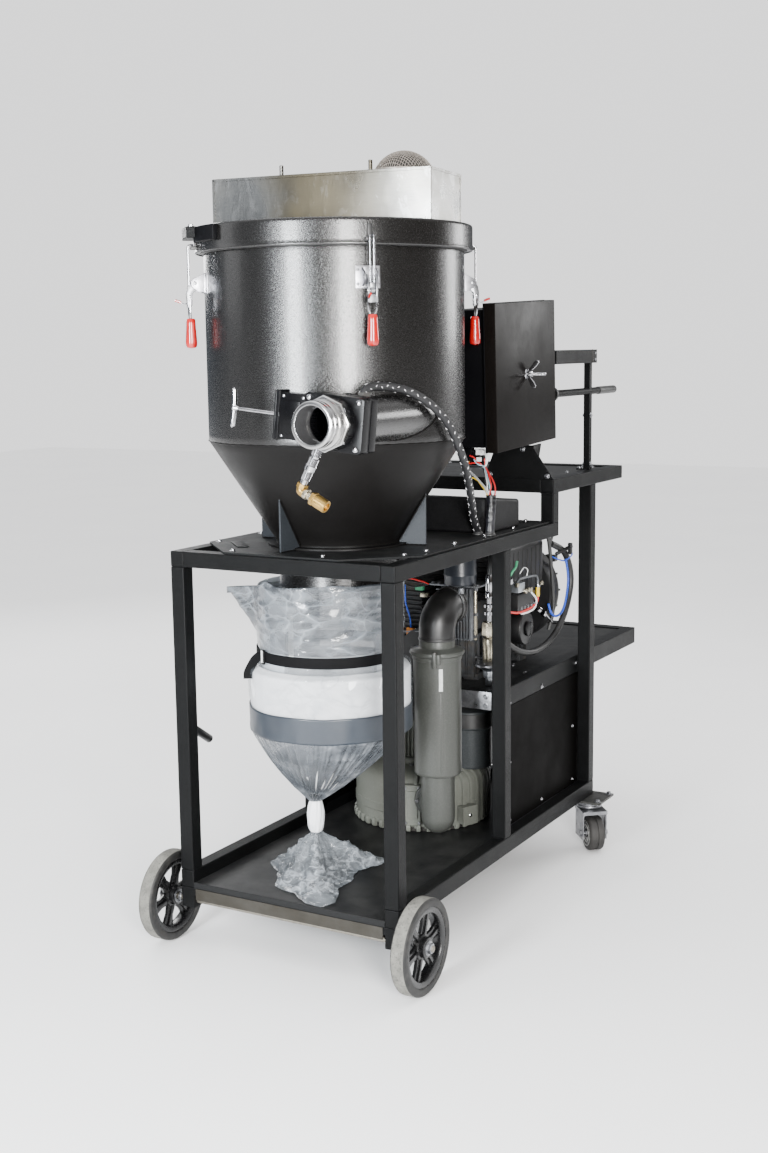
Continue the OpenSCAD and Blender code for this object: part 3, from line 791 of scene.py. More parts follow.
def lathe(name, prof, origin, axis, mat, body=ROOT, steps=96, close=True, smooth=35, mm=True):
    """Turns a profile of (radius, height) points in mm about an axis through origin."""
    s, t, d = frame_of(axis)
    o = Vector(origin)
    verts, faces = [], []
    n = len(prof)
    for i in range(steps):
        a = 2 * math.pi * i / steps
        rad = s * math.cos(a) + t * math.sin(a)
        for r, h in prof:
            p = o + rad * r + d * h
            verts.append(W(*p))
    for i in range(steps):
        j = (i + 1) % steps
        for k in range(n - 1):
            a, b, c, e = i * n + k, j * n + k, j * n + k + 1, i * n + k + 1
            if prof[k][0] < 1e-6 and prof[k + 1][0] < 1e-6:
                continue
            if prof[k][0] < 1e-6:
                faces.append((a, c, e))
            elif prof[k + 1][0] < 1e-6:
                faces.append((a, b, e))
            else:
                faces.append((a, b, c, e))
    ob = finish_mesh(name, verts, faces, mat, None, smooth)
    weld(ob)
    shade(ob, smooth)
    if body:
        ob["_b"] = body
        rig.ride(ob, body)
    return ob


def weld(o, d=1e-6):
    bm = bmesh.new()
    bm.from_mesh(o.data)
    bmesh.ops.remove_doubles(bm, verts=bm.verts, dist=d)
    bmesh.ops.recalc_face_normals(bm, faces=bm.faces)
    bm.to_mesh(o.data)
    bm.free()


def cylm(name, p0, p1, r, mat, body=ROOT, bev=1.0, steps=32, r1=None):
    """A turned bar between two points with softened ends."""
    p0, p1 = Vector(p0), Vector(p1)
    L = (p1 - p0).length
    r1 = r if r1 is None else r1
    b = min(bev, r * 0.45, L * 0.45)
    prof = [(0, 0), (r - b, 0), (r - 0.3 * b, 0.3 * b), (r, b), (r1, L - b), (r1 - 0.3 * b, L - 0.3 * b), (r1 - b, L), (0, L)]
    return lathe(name, prof, p0, p1 - p0, mat, body, steps, smooth=30)


def smooth_path(pts, per=6):
    """Catmull-Rom through the points."""
    P = [Vector(p) for p in pts]
    out = []
    for i in range(len(P) - 1):
        p0 = P[max(i - 1, 0)]
        p1, p2 = P[i], P[i + 1]
        p3 = P[min(i + 2, len(P) - 1)]
        for k in range(per):
            t = k / per
            out.append(0.5 * ((2 * p1) + (-p0 + p2) * t + (2 * p0 - 5 * p1 + 4 * p2 - p3) * t * t + (-p0 + 3 * p1 - 3 * p2 + p3) * t ** 3))
    out.append(P[-1])
    return out


def tube(name, pts, r, mat, body=ROOT, sides=12, caps=True, radii=None, smooth=60):
    """A round tube along points in mm, with UVs: u round it, v along it in metres."""
    P = [Vector(p) for p in pts]
    n = len(P)
    T = [(P[min(i + 1, n - 1)] - P[max(i - 1, 0)]).normalized() for i in range(n)]
    a = Vector((0, 0, 1)) if abs(T[0].z) < 0.9 else Vector((1, 0, 0))
    s = (a - T[0] * a.dot(T[0])).normalized()
    verts, uvs, faces = [], [], []
    along = 0
    for i in range(n):
        if i:
            along += (P[i] - P[i - 1]).length
            s = (s - T[i] * s.dot(T[i])).normalized()
        t = T[i].cross(s)
        rr = radii[i] if radii else r
        for k in range(sides + 1):
            an = 2 * math.pi * k / sides
            verts.append(W(*(P[i] + (s * math.cos(an) + t * math.sin(an)) * rr)))
            uvs.append((k / sides, along / 1000.0))
    m = sides + 1
    for i in range(n - 1):
        for k in range(sides):
            faces.append((i * m + k, i * m + k + 1, (i + 1) * m + k + 1, (i + 1) * m + k))
    if caps:
        c0 = len(verts)
        verts.append(W(*P[0])); uvs.append((0.5, 0))
        verts.append(W(*P[-1])); uvs.append((0.5, along / 1000.0))
        for k in range(sides):
            faces.append((c0, k + 1, k))
            faces.append((c0 + 1, (n - 1) * m + k, (n - 1) * m + k + 1))
    o = finish_mesh(name, verts, faces, mat, None, smooth, uvs)
    if body:
        o["_b"] = body
        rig.ride(o, body)
    return o


def bolt(p, d, r=6.5, h=5, mat="zinc", body=ROOT, washer=True, kind="hex", name="bolt"):
    """A bolt head on a washer, standing on p along d."""
    s, t, d = frame_of(d)
    p = Vector(p)
    out = []
    if washer:
        out.append(lathe(name + "_w", [(0, 0), (r * 1.35, 0), (r * 1.5, 0.4), (r * 1.5, 1.2), (r * 1.35, 1.6), (0, 1.6)], p, d, mat, None, 24))
    base = p + d * (1.6 if washer else 0)
    if kind == "hex":
        prof = [(0, 0), (r, 0), (r, h * 0.8), (r * 0.86, h), (0, h)]
        o = lathe(name + "_h", prof, base, d, mat, None, 6, smooth=20)
    else:
        prof = [(0, 0), (r, 0), (r, h * 0.3), (r * 0.85, h * 0.75), (r * 0.45, h), (0, h)]
        o = lathe(name + "_h", prof, base, d, mat, None, 20)
    out.append(o)
    for q in out:
        q["_b"] = body
    return out


def poly_plate(name, pts, t, mat, origin, xdir, ydir, body=ROOT, bev=0.8):
    """A flat plate: outline points in mm on two directions, thickness t along their cross product."""
    xd, yd = Vector(xdir).normalized(), Vector(ydir).normalized()
    nd = xd.cross(yd)
    o = Vector(origin)
    n = len(pts)
    verts = [W(*(o + xd * a + yd * b)) for a, b in pts] + [W(*(o + xd * a + yd * b + nd * t)) for a, b in pts]
    faces = [tuple(range(n - 1, -1, -1)), tuple(range(n, 2 * n))] + [(i, (i + 1) % n, n + (i + 1) % n, n + i) for i in range(n)]
    ob = finish_mesh(name, verts, faces, mat, None, 35)
    if bev:
        apply_bevel(ob, bev / 1000.0, 2)
    if body:
        ob["_b"] = body
        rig.ride(ob, body)
    return ob


# ------------------------------------------------------------------ frame
def build_frame():
    from_cad("frame_posts", "frame", 0.0028, 3)
    from_cad("side_rails", "frame", 0.0028, 3)
    from_cad("cross_rails", "frame", 0.0022, 2)
    from_cad("axle_brackets", "frame", 0.001, 2)
    # weld beads where posts meet rails
    beads = []

    def bead(p0, p1, r=2.3):
        p0, p1 = Vector(p0), Vector(p1)
        n = max(3, int((p1 - p0).length / 3.5))
        pts, rad = [], []
        for i in range(n + 1):
            t = i / n
            pts.append(p0.lerp(p1, t) + Vector((random.uniform(-.3, .3), random.uniform(-.3, .3), random.uniform(-.3, .3))))
            rad.append(r * (0.8 + 0.35 * abs(math.sin(i * 1.9 + random.random()))))
        beads.append(tube("bead", pts, r, "frame", None, 6, True, rad))

    xo, xi = 311.4, 273.3
    for s in (-1, 1):
        for (y0, y1), (zl, zh) in (((0, 38.1), (195, 958.7)), ((573.9, 612), (195, 958.7)), ((1156.9, 1195), (195, 1077.9)), ((884.9, 923), (996.8, 1077.9))):
            for z in (zl, zh):
                for y in (y0, y1):
                    if (y in (0, 1195) and z == zl) or (y == 0):
                        continue
                    bead((s * (xi + 2), y, z), (s * (xo - 2), y, z))
                bead((s * xi, y0 + 2, z), (s * xi, y1 - 2, z))
        for z0, z1, y in ((526.2, 577, 612), (526.2, 577, 1156.9)):
            bead((s * xi, y, z0 + 2), (s * xi, y, z1 - 2))
        for y in (38.1, 884.9, 923):
            bead((s * xi, y, 960.7), (s * xi, y, 994.8))
        bead((s * xi, 923, 1080), (s * xi, 923, 1114))
        bead((s * xi, 1368.9, 1080), (s * xi, 1368.9, 1114))
        bead((s * xi, 1156.9, 152.4), (s * xi, 1156.9, 193))
    for o in beads:
        o["_b"] = ROOT
    join("weld_beads", beads)
    # open tube mouths closed by black caps
    caps = []
    for s in (-1, 1):
        for (a, b, yy) in (((273.3, 311.4), (1077.9, 1116), 1407), ((235.2, 273.3), (526.2, 577), 1640)):
            lo = (min(s * a[0], s * a[1]) + 2, yy - 1, b[0] + 2)
            hi = (max(s * a[0], s * a[1]) - 2, yy + 3.5, b[1] - 2)
            caps.append(boxm("cap", lo, hi, "plastic", None, 0.0015, 2))
    for o in caps:
        o["_b"] = ROOT
    join("tube_caps", caps)


def build_decks():
    from_cad("deck_plate", "deck", 0.0009, 2)
    from_cad("base_tray", "tray", 0.0006, 1)
    from_cad("shelf_plates", "deck", 0.0006, 1)
    from_cad("side_panels", "panel", 0.0004, 1)
    for sg in (-1, 1):
        for k, (y0, y1, z0, z1) in enumerate(((600, 620, 192, 526), (1148, 1178, 192, 526), (600, 1178, 512, 534))):
            boxm("panel_return_%d_%d" % (sg + 1, k), (min(sg * 266.6, sg * 268.4), y0, z0), (max(sg * 266.6, sg * 268.4), y1, z1), "panel", ROOT, 0)
    out = []
    for x, y in ((-280, 160), (-147, 30), (103, 33), (262, 132), (276, 214), (276, 362), (276, 530), (276, 700), (-276, 340), (-276, 530), (-276, 700), (120, 700), (-120, 700), (0, 860), (-240, 860), (240, 860)):
        out += bolt((x, y, 1001.8), (0, 0, 1), 5.2, 4.2, "chrome", ROOT, True, "dome")
    for y, z in ((683, 536), (896, 536), (1142, 556), (683, 210), (896, 210), (1120, 210), (683, 372), (1120, 372)):
        for s in (-1, 1):
            out += bolt((s * 273.2, y, z), (s, 0, 0), 4.2, 3.2, "chrome", ROOT, True, "dome")
    for x, y in ((158, 957), (232, 876), (-158, 957), (-232, 876), (0, 1300), (0, 690)):
        out += bolt((x, y, 573), (0, 0, 1), 5, 3.5, "zinc", ROOT, True, "hex")
    for x in (-240, 0, 240):
        for y in (950, 1150, 1345):
            out += bolt((x, y, 1112), (0, 0, 1), 4.5, 3.5, "zinc", ROOT, True, "dome")
    join("deck_bolts", out)
    # raised bare plate near the deck's left corner
    b = boxm("corner_plate", (-52, -14, 1001.7), (52, 14, 1005), "deck", ROOT, 0.001, 2, Matrix.Rotation(math.radians(-45), 3, "Z"), (0, 0, 1003))
    for v in b.data.vertices:
        v.co += Vector((-0.196, 0.128, 0))
    # raw metal strip hung under the tray's lip, lit dirt on it
    strip = boxm("lip_strip", (-268, -1.2, 120), (268, 0.6, 149.5), "strip", ROOT, 0.0004, 1)


# ------------------------------------------------------------------ running gear
def torus_prof(R, w, cr, n=6):
    """Half tyre outline (radius, height) from one side wall over the tread to the other."""
    h = w / 2
    pts = []
    for i in range(n + 1):
        a = math.pi / 2 * i / n
        pts.append((R - cr + cr * math.sin(a), -h + cr - cr * math.cos(a)))
    pts2 = [(r, -z) for r, z in reversed(pts)]
    return pts + pts2


def build_wheel(side):
    s = 1 if side == "right" else -1
    body = "wheel_" + side
    cx = s * 357.0
    c = Vector((cx, 18.5, 114.3))
    ax = Vector((s, 0, 0))
    ps = []
    R, w = 114.3, 42
    # tyre: side walls and a separate dusty tread
    tp = torus_prof(R, w - 2, 9)
    wall = [(93, -w / 2 + 4), (95, -w / 2 + 1.5), (99, -w / 2 + 1)] + [p for p in tp if p[1] < -w / 2 + 7.2]
    wall2 = [(r, -z) for r, z in reversed(wall)]
    ps.append(lathe("wall", wall, c, ax, "wall", None, 128))
    ps.append(lathe("wall", wall2, c, ax, "wall", None, 128))
    mid = [p for p in tp if -w / 2 + 6.0 <= p[1] <= w / 2 - 6.0]
    prof = [wall[-1]] + [(R - 0.4, z) for z in (-12, -8, -4, 0, 4, 8, 12)] + [wall2[0]]
    tr = lathe("tread", prof, c, ax, "tread", None, 160)
    rnd = random.Random(11 if s > 0 else 23)
    for v in tr.data.vertices:
        p = v.co
        d = Vector((0, p.y - (18.5 / 1000 - YM), p.z - 0.1143))
        n = noise.noise(p * 70) * 0.0006 + noise.noise(p * 260) * 0.00035
        v.co += d.normalized() * (n - 0.0004)
    ps.append(tr)
    # rim: two flanges and a web with six spokes
    rim = [(93, -17), (95, -15.5), (93, -14), (84, -12.5), (82, -9), (82, 9), (84, 12.5), (93, 14), (95, 15.5), (93, 17), (88, 17.4), (80, 14.6), (77.5, 10), (77.5, -10), (80, -14.6), (88, -17.4), (93, -17)]
    ps.append(lathe("rim", rim, c, ax, "gloss", None, 96))
    hub = [(8.3, -21), (20, -21), (23.5, -19.5), (24, -17), (25, -9), (30, -7), (30, 7), (25, 9), (24, 17), (23.5, 19.5), (20, 21), (8.3, 21), (8.3, -21)]
    ps.append(lathe("hub", hub, c, ax, "gloss", None, 64))
    for k in range(6):
        a = math.radians(60 * k + 12)
        for off, wd, th in ((0, 12.5, 4), (0, 4.0, 9)):
            pts = []
            for rr, ww in ((26, wd * 1.25), (50, wd), (79, wd * 1.5)):
                pts.append((rr, ww))
            verts, faces = [], []
            for rr, ww in pts:
                for sx in (-th, th):
                    for sw in (-ww, ww):
                        y = rr * math.cos(a) - sw * math.sin(a)
                        z = rr * math.sin(a) + sw * math.cos(a)
                        verts.append(W(cx + sx, 18.5 + y, 114.3 + z))
            for i in range(2):
                o = 4 * i
                faces += [(o, o + 1, o + 5, o + 4), (o + 2, o + 6, o + 7, o + 3), (o, o + 4, o + 6, o + 2), (o + 1, o + 3, o + 7, o + 5)]
            faces += [(0, 2, 3, 1), (8, 9, 11, 10)]
            q = finish_mesh("spoke", verts, faces, "gloss", None, 35)
            apply_bevel(q, 0.0013, 2)
            ps.append(q)
    # steel ring and bearing cap
    for sg in (-1, 1):
        ps.append(lathe("ring", [(10.5, 20.5), (17.5, 20.5), (17.5, 22.6), (16.3, 23.2), (14.6, 23.2), (14.2, 21.6), (10.5, 21.6), (10.5, 20.5)], c, ax * sg, "zinc", None, 48))
    for o in ps:
        o["_b"] = body
    j = join("wheel_%s_v" % side, ps)
    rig.replaces(j, body)
    return j


def build_axle():
    ps = [cylm("rod", (-392 + 0.3, 18.5, 114.3), (391.7, 18.5, 114.3), 8, "axle", None, 2.5, 28)]
    for s in (-1, 1):
        ps.append(lathe("nut", [(8, 0), (12.5, 0), (12.5, 6.6), (11, 8), (8, 8)], (s * 381, 18.5, 114.3), (s, 0, 0), "zinc", None, 6, smooth=20))
        ps.append(lathe("washer", [(8, 0), (15, 0), (15, 1.6), (8, 1.6)], (s * 379.4, 18.5, 114.3), (s, 0, 0), "zinc", None, 32))
        ps.append(lathe("collar", [(8, 0), (11.5, 0), (12, 0.6), (12, 6), (11.5, 6.6), (8, 6.6)], (s * 322, 18.5, 114.3), (s, 0, 0), "zinc", None, 32))
    for o in ps:
        o["_b"] = ROOT
    j = join("front_axle_v", ps)
    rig.replaces(j, "front_axle")


def build_caster(side):
    s = 1 if side == "right" else -1
    from_cad("caster_fork_" + side, "zinc", 0.0012, 2)
    body = "caster_wheel_" + side
    fork = "caster_fork_" + side
    with at(s * 311, 1165, 0, rz=s * 40):
        R = 50.8
        c, ax = (0, -38, R), (1, 0, 0)
        tp = torus_prof(R - 0.1, 45.5, 9)
        t = [(30, -22.5)] + tp[:7] + [(R - 0.3, -3), (R - 2.6, -2), (R - 2.6, 2), (R - 0.3, 3)] + tp[7:] + [(30, 22.5)]
        ps = [lathe("tyre", t, c, ax, "castertyre", None, 96)]
        for sg in (-1, 1):
            a2 = (sg, 0, 0)
            ps.append(lathe("disc", [(6.2, 21.5), (30, 21.5), (32, 22.2), (33, 23), (34.5, 23), (35, 22.4)], c, a2, "gloss", None, 64))
            ps.append(lathe("ringa", [(23, 21.4), (23.3, 23.2), (25.2, 23.2), (25.5, 21.4)], c, a2, "ringgrey", None, 64))
            ps.append(lathe("ringb", [(35.0, 22.0), (35.6, 23.1), (37.8, 23.1), (38.3, 22.0)], c, a2, "ringgrey", None, 64))
            ps.append(lathe("boss", [(6.2, 21.5), (12, 21.5), (12, 26), (11, 27), (6.2, 27)], c, a2, "zinc", None, 40))
        for o in ps:
            o["_b"] = body
        j = join(body + "_v", ps)
        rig.replaces(j, body)
        ex = []
        for sg in (-1, 1):
            ex.append(lathe("axn", [(0, 0), (9, 0), (9, 5), (8, 6), (0, 6)], (sg * 37, -38, R), (sg, 0, 0), "zinc", None, 6, smooth=20))
        # raceway: rolled rings of the swivel and the king bolt's head
        ex.append(lathe("race", [(20, 0), (34.5, 0), (36.5, 2), (37, 5), (36, 8), (33, 9.5), (33, 12), (36, 13.5), (37, 16.5), (36.2, 20), (34, 22.5), (20, 22.5)], (0, 0, 120.6), (0, 0, 1), "zinc", None, 72))
        ex.append(lathe("king", [(0, 0), (9, 0), (9, 4), (7.6, 5.4), (0, 5.4)], (0, 0, 109), (0, 0, -1), "zinc", None, 6, smooth=20))
        for o in ex:
            o["_b"] = fork
        join(fork + "_x", ex)


def build_running():
    for s in ("left", "right"):
        build_wheel(s)
        build_caster(s)
    build_axle()
    from_cad("caster_plates", "plateblack", 0.0008, 2)
    out = []
    for s in (-1, 1):
        for x in (267, 355):
            for y in (1120, 1210):
                if x == 355:
                    out += bolt((s * x, y, 150.4), (0, 0, 1), 7, 6, "zinc", ROOT, True, "hex")
                out += bolt((s * x, y, 144.4), (0, 0, -1), 6.5, 5, "zinc", ROOT, True, "hex")
                out.append(cylm("shank", (s * x, y, 143), (s * x, y, 154), 4.6, "zinc", None, 0.6, 16))
    for o in out:
        o["_b"] = ROOT
    join("caster_bolts", out)


# ------------------------------------------------------------------ drum
def build_drum():
    c = (0, 275, 0)
    ax = (0, 0, 1)
    R = 312
    rows = [(R, z) for z in [1262 + (1697 - 1262) * i / 36 for i in range(37)]]
    sh = lathe("drum_shell_v", [(R - 2.8, 1259.5), (R - 0.6, 1259.5)] + rows + [(R - 0.4, 1699.6), (R - 2.8, 1699.6)] + [(R - 2.8, z) for z in (1560, 1420, 1320, 1262)] + [(R - 2.8, 1259.5)], c, ax, "drum", None, 192)
    # the inlet's hole
    cut = cylm("cutter", (255, -110, 1320), (255, 255, 1320), 47.8, "drum", None, 0.5, 64)
    md = sh.modifiers.new("hole", "BOOLEAN")
    md.operation = "DIFFERENCE"
    md.solver = "EXACT"
    md.object = cut
    dg = bpy.context.evaluated_depsgraph_get()
    me = bpy.data.meshes.new_from_object(sh.evaluated_get(dg))
    sh.modifiers.clear()
    old = sh.data
    sh.data = me
    bpy.data.objects.remove(cut, do_unlink=True)
    shade(sh, 35)
    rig.ride(sh, ROOT)
    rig.replaces(sh, "drum_shell")
    prof = [(309.2, 1258.8), (311.6, 1258.8)]
    for i in range(13):
        t = i / 12
        prof.append((311.6 + (154.2 - 311.6) * t, 1257.5 + (1013 - 1257.5) * t))
    prof += [(154, 1010), (154, 1007.2), (175.6, 1006.9), (176, 1006.2), (176, 1002.2), (151, 1001.9), (151, 1012), (309, 1257)]
    cn = lathe("drum_cone_v", prof, c, ax, "cone", ROOT, 160)
    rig.replaces(cn, "drum_cone")
    # weld line at the seam, slightly uneven
    pts, rad = [], []
    n = 240
    for i in range(n + 1):
        a = 2 * math.pi * i / n
        pts.append((311.6 * math.cos(a), 275 + 311.6 * math.sin(a), 1258.6 + 0.5 * math.sin(7 * a)))
        rad.append(1.9 + 0.5 * math.sin(i * 1.7) + 0.25 * math.sin(i * 0.37))
    seam = tube("drum_seam", pts, 2, "cone", ROOT, 6, False, rad)
    from_cad("cone_gussets", "gusset", 0.0008, 2)
    # little weld beads along the gussets' feet
    bd = []
    for a in (-96, 9, 84, 180):
        with at(0, 275, 0, rz=a):
            for sg in (-1, 1):
                q = [(178 + 50 * i / 14, sg * 3.0, 1002.6 + 0.3 * math.sin(i * 2.1)) for i in range(15)]
                bd.append(tube("b", q, 2, "cone", None, 5, True, [1.8 + 0.5 * math.sin(i * 1.9) for i in range(15)]))
                q = [(160.5 + 68 * i / 18, sg * 2.8, 1013.5 + 111 * i / 18) for i in range(19)]
                bd.append(tube("b", q, 2, "cone", None, 5, True, [1.7 + 0.5 * math.sin(i * 2.3) for i in range(19)]))
    for o in bd:
        o["_b"] = ROOT
    join("gusset_beads", bd)
    # lid: flat top and a band with a rolled lower edge
    lp = [(0, 1760), (318, 1760), (327.5, 1759.6), (330.6, 1758.2), (331.8, 1755.5), (332, 1752)]
    lp += [(332, z) for z in (1744, 1734, 1724, 1714)]
    lp += [(331.7, 1706.5), (332.3, 1704.6), (332.3, 1702), (331.2, 1700.4), (328.4, 1700.2), (328, 1703), (315, 1703), (314, 1701)]
    ld = lathe("lid_v", lp, c, ax, "drum", ROOT, 192)
    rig.replaces(ld, "lid")
    # grey gasket seen as a thin dark line below the band
    gk = lathe("lid_gasket", [(309, 1700), (316, 1699.2), (319, 1700.6), (319, 1703), (309, 1703)], c, ax, "rubber", ROOT, 128)
    from_cad("lid_lug", "frame", 0.0022, 3)
    with at(0, 275, 0, rz=-137):
        bl = []
        for y in (-38, 38):
            bl += bolt((346, y, 1758), (0, 0, 1), 6, 4.5, "zinc", ROOT, True, "hex")
        join("lug_bolts", bl)
    # inlet pipe with a weld ring at the drum
    from_cad("inlet_pipe", "drum", 0.0, 1)
    ring, rad = [], []
    for i in range(97):
        a = 2 * math.pi * i / 96
        x = 255 + 50.8 * math.cos(a)
        z = 1320 + 50.8 * math.sin(a)
        y = 275 - math.sqrt(max(312.0 ** 2 - x * x, 0.0))if abs(x) < 311.5 else 275 - 17
        ring.append((x, y, z))
        rad.append(2.8 + 0.7 * math.sin(i * 1.9))
    tube("inlet_weld", ring, 3, "cone", ROOT, 7, False, rad)


# ------------------------------------------------------------------ latches
def build_latches():
    for name, a in (("a", -45), ("b", -135), ("c", 42), ("d", 135)):
        hb, kb = "latch_handle_" + name, "latch_hook_" + name
        with at(0, 275, 0, rz=a):
            # mount: curved flange plate, ears, rivets, ledge catch on the lid band
            mt = []
            n = 12
            vs, fs = [], []
            for i in range(n + 1):
                yy = -28 + 56 * i / n
                for r, zz in ((312.2, 1606), (314.6, 1606), (314.6, 1655), (312.2, 1655)):
                    ang = math.asin(yy / 312)
                    vs.append(W(r * math.cos(ang), r * math.sin(ang), zz))
            for i in range(n):
                for k in range(4):
                    fs.append((4 * i + k, 4 * i + (k + 1) % 4, 4 * i + 4 + (k + 1) % 4, 4 * i + 4 + k))
            fs += [(0, 1, 2, 3), (4 * n + 3, 4 * n + 2, 4 * n + 1, 4 * n)]
            pl = finish_mesh("plate", vs, fs, "zincpale", None, 35)
            apply_bevel(pl, 0.0006, 2)
            mt.append(pl)
            mt.append(boxm("bridge", (312.5, -18.5, 1608), (320, 18.5, 1653), "zincpale", None, 0.0015, 2))
            for k in (-1, 1):
                pts = [(318, 1610), (330, 1610), (346, 1620), (350, 1628), (348, 1636), (340, 1642), (318, 1652)]
                e = poly_plate("ear", [(x, z) for x, z in pts], 4 if k > 0 else 4, "zincpale", (0, k * 15 + 2, 0), (1, 0, 0), (0, 0, 1), None, 0.6)
                mt.append(e)
            for y in (-23, 23):
                for z in (1615, 1646):
                    ang = math.asin(y / 312)
                    dv = Vector((math.cos(ang), math.sin(ang), 0))
                    p = dv * 314.4 + Vector((0, 0, z))
                    mt.append(lathe("rv", [(0, 0), (3.6, 0), (3.6, 0.8), (2.8, 2.0), (1.2, 2.6), (0, 2.7)], p, dv, "zinc", None, 16))
            for k in (-1, 1):
                mt.append(cylm("pin", (340, k * 16.8, 1630), (340, k * 19, 1630), 4.6, "zinc", None, 0.8, 20))
            # ledge: a hooked strip riveted to the lid band
            mt.append(boxm("ledge", (331.6, -12, 1707.5), (346.5, 12, 1715.3), "catch", None, 0.0022, 3))
            mt.append(boxm("ledgeplate", (331.4, -5.5, 1708), (336.6, 5.5, 1744), "catch", None, 0.0024, 3))
            for o in mt:
                o["_b"] = ROOT
            jm = join("latch_mount_%s_v" % name, mt)
            if name == "a":
                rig.replaces(jm, "latch_mounts")
            # handle: pressed cheeks, a bent bright loop, a red dipped grip
            hd = []
            for k in (-1, 1):
                pts = [(334, 1624), (336, 1614), (345, 1606), (346, 1578), (357, 1574), (358.5, 1606), (355, 1622), (345, 1636.5), (337, 1635)]
                hd.append(poly_plate("cheek", pts, 3.6, "zinc", (0, k * 9 + 1.8, 0), (1, 0, 0), (0, 0, 1), None, 0.6))
            hd.append(cylm("piv", (340, -16.8, 1630), (340, -8, 1630), 2.95, "chrome", None, 0.5, 20))
            hd.append(cylm("piv", (340, 8, 1630), (340, 16.8, 1630), 2.95, "chrome", None, 0.5, 20))
            hd.append(cylm("pinq", (352, -12.5, 1600), (352, 12.5, 1600), 2.95, "chrome", None, 0.7, 20))
            for k in (-1, 1):
                hd.append(tube("loop", smooth_path([(352, k * 9.4, 1592), (352.3, k * 9.6, 1575), (352, k * 8.6, 1560), (351, k * 5.4, 1551), (350.2, k * 2.6, 1545), (350, k * 2.4, 1536)], 5), 2.7, "chrome", None, 10))
            hd.append(boxm("web", (347, -8.6, 1574), (349.2, 8.6, 1591.5), "zinc", None, 0.0008, 2))
            grip = [(0, 1549), (8.5, 1548.6), (10.4, 1546), (10.9, 1538), (11.4, 1526), (12.8, 1506), (13.5, 1494), (13.1, 1486), (10.6, 1481.4), (6, 1479.4), (0, 1479)]
            hd.append(lathe("grip", [(r, z) for r, z in grip], (350, 0, 0), (0, 0, 1), "red", None, 40))
            # release tab, bright with a red tip
            hd.append(tube("tab", smooth_path([(355, -11.4, 1585), (362, -12.0, 1582.5), (368, -12.4, 1584.5), (374, -12.8, 1588)], 4), 1.7, "chrome", None, 8))
            hd.append(tube("tabtip", smooth_path([(370, -12.6, 1586), (376, -12.9, 1589), (384.5, -13.2, 1591.5)], 4), 3.0, "red", None, 10, True, None))
            for o in hd:
                o["_b"] = hb
            jh = join(hb + "_v", hd)
            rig.replaces(jh, hb)
            # hook: eye, threaded rod, nut, bent end
            hk = []
            hk.append(lathe("eye", [(3.1, -4.6), (6.4, -4.6), (7, -4), (7, 4), (6.4, 4.6), (3.1, 4.6), (3.1, -4.6)], (352, 0, 1600), (0, 1, 0), "zinc", None, 32))
            loop = [(352, -4.4, 1612), (352, -4.4, 1640), (352, -4.4, 1690), (352, -4.4, 1711), (351.2, -4.4, 1715.4), (347.5, -4.2, 1718.2), (343, -3.4, 1718.5), (340.6, -1.6, 1718.4), (340.2, 0, 1718.3), (340.6, 1.6, 1718.4), (343, 3.4, 1718.5), (347.5, 4.2, 1718.2), (351.2, 4.4, 1715.4), (352, 4.4, 1711), (352, 4.4, 1690), (352, 4.4, 1640), (352, 4.4, 1612)]
            hk.append(tube("rod", smooth_path(loop, 4), 2.1, "chrome", None, 12))
            hk.append(boxm("block", (348.6, -6.2, 1604), (355.4, 6.2, 1617), "zinc", None, 0.0016, 2))
            for y in (-4.4, 4.4):
                hk.append(lathe("hn", [(2.0, 0), (2.6, 0), (2.6, 5), (2.0, 5)], (352, y, 1617), (0, 0, 1), "zinc", None, 6, smooth=20))
            for o in hk:
                o["_b"] = kb
            jk = join(kb + "_v", hk)
            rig.replaces(jk, kb)


# ------------------------------------------------------------------ lug arm
def build_lug_arm():
    """The clamp lug's flat arm, that lies along the lid band towards the front."""
    with at(0, 275, 0):
        n = 18
        vs, fs = [], []
        for i in range(n + 1):
            az = math.radians(-130.5 + 19.5 * i / n)
            for r, zz in ((331.4, 1722), (344.0, 1722), (344.0, 1757), (331.4, 1757)):
                vs.append(W(r * math.cos(az), r * math.sin(az), zz))
        for i in range(n):
            for k in range(4):
                fs.append((4 * i + k, 4 * i + (k + 1) % 4, 4 * i + 4 + (k + 1) % 4, 4 * i + 4 + k))
        fs += [(0, 3, 2, 1), (4 * n, 4 * n + 1, 4 * n + 2, 4 * n + 3)]
        o = finish_mesh("lid_lug_arm", vs, fs, "boxblack", ROOT, 35)
        apply_bevel(o, 0.0022, 3)


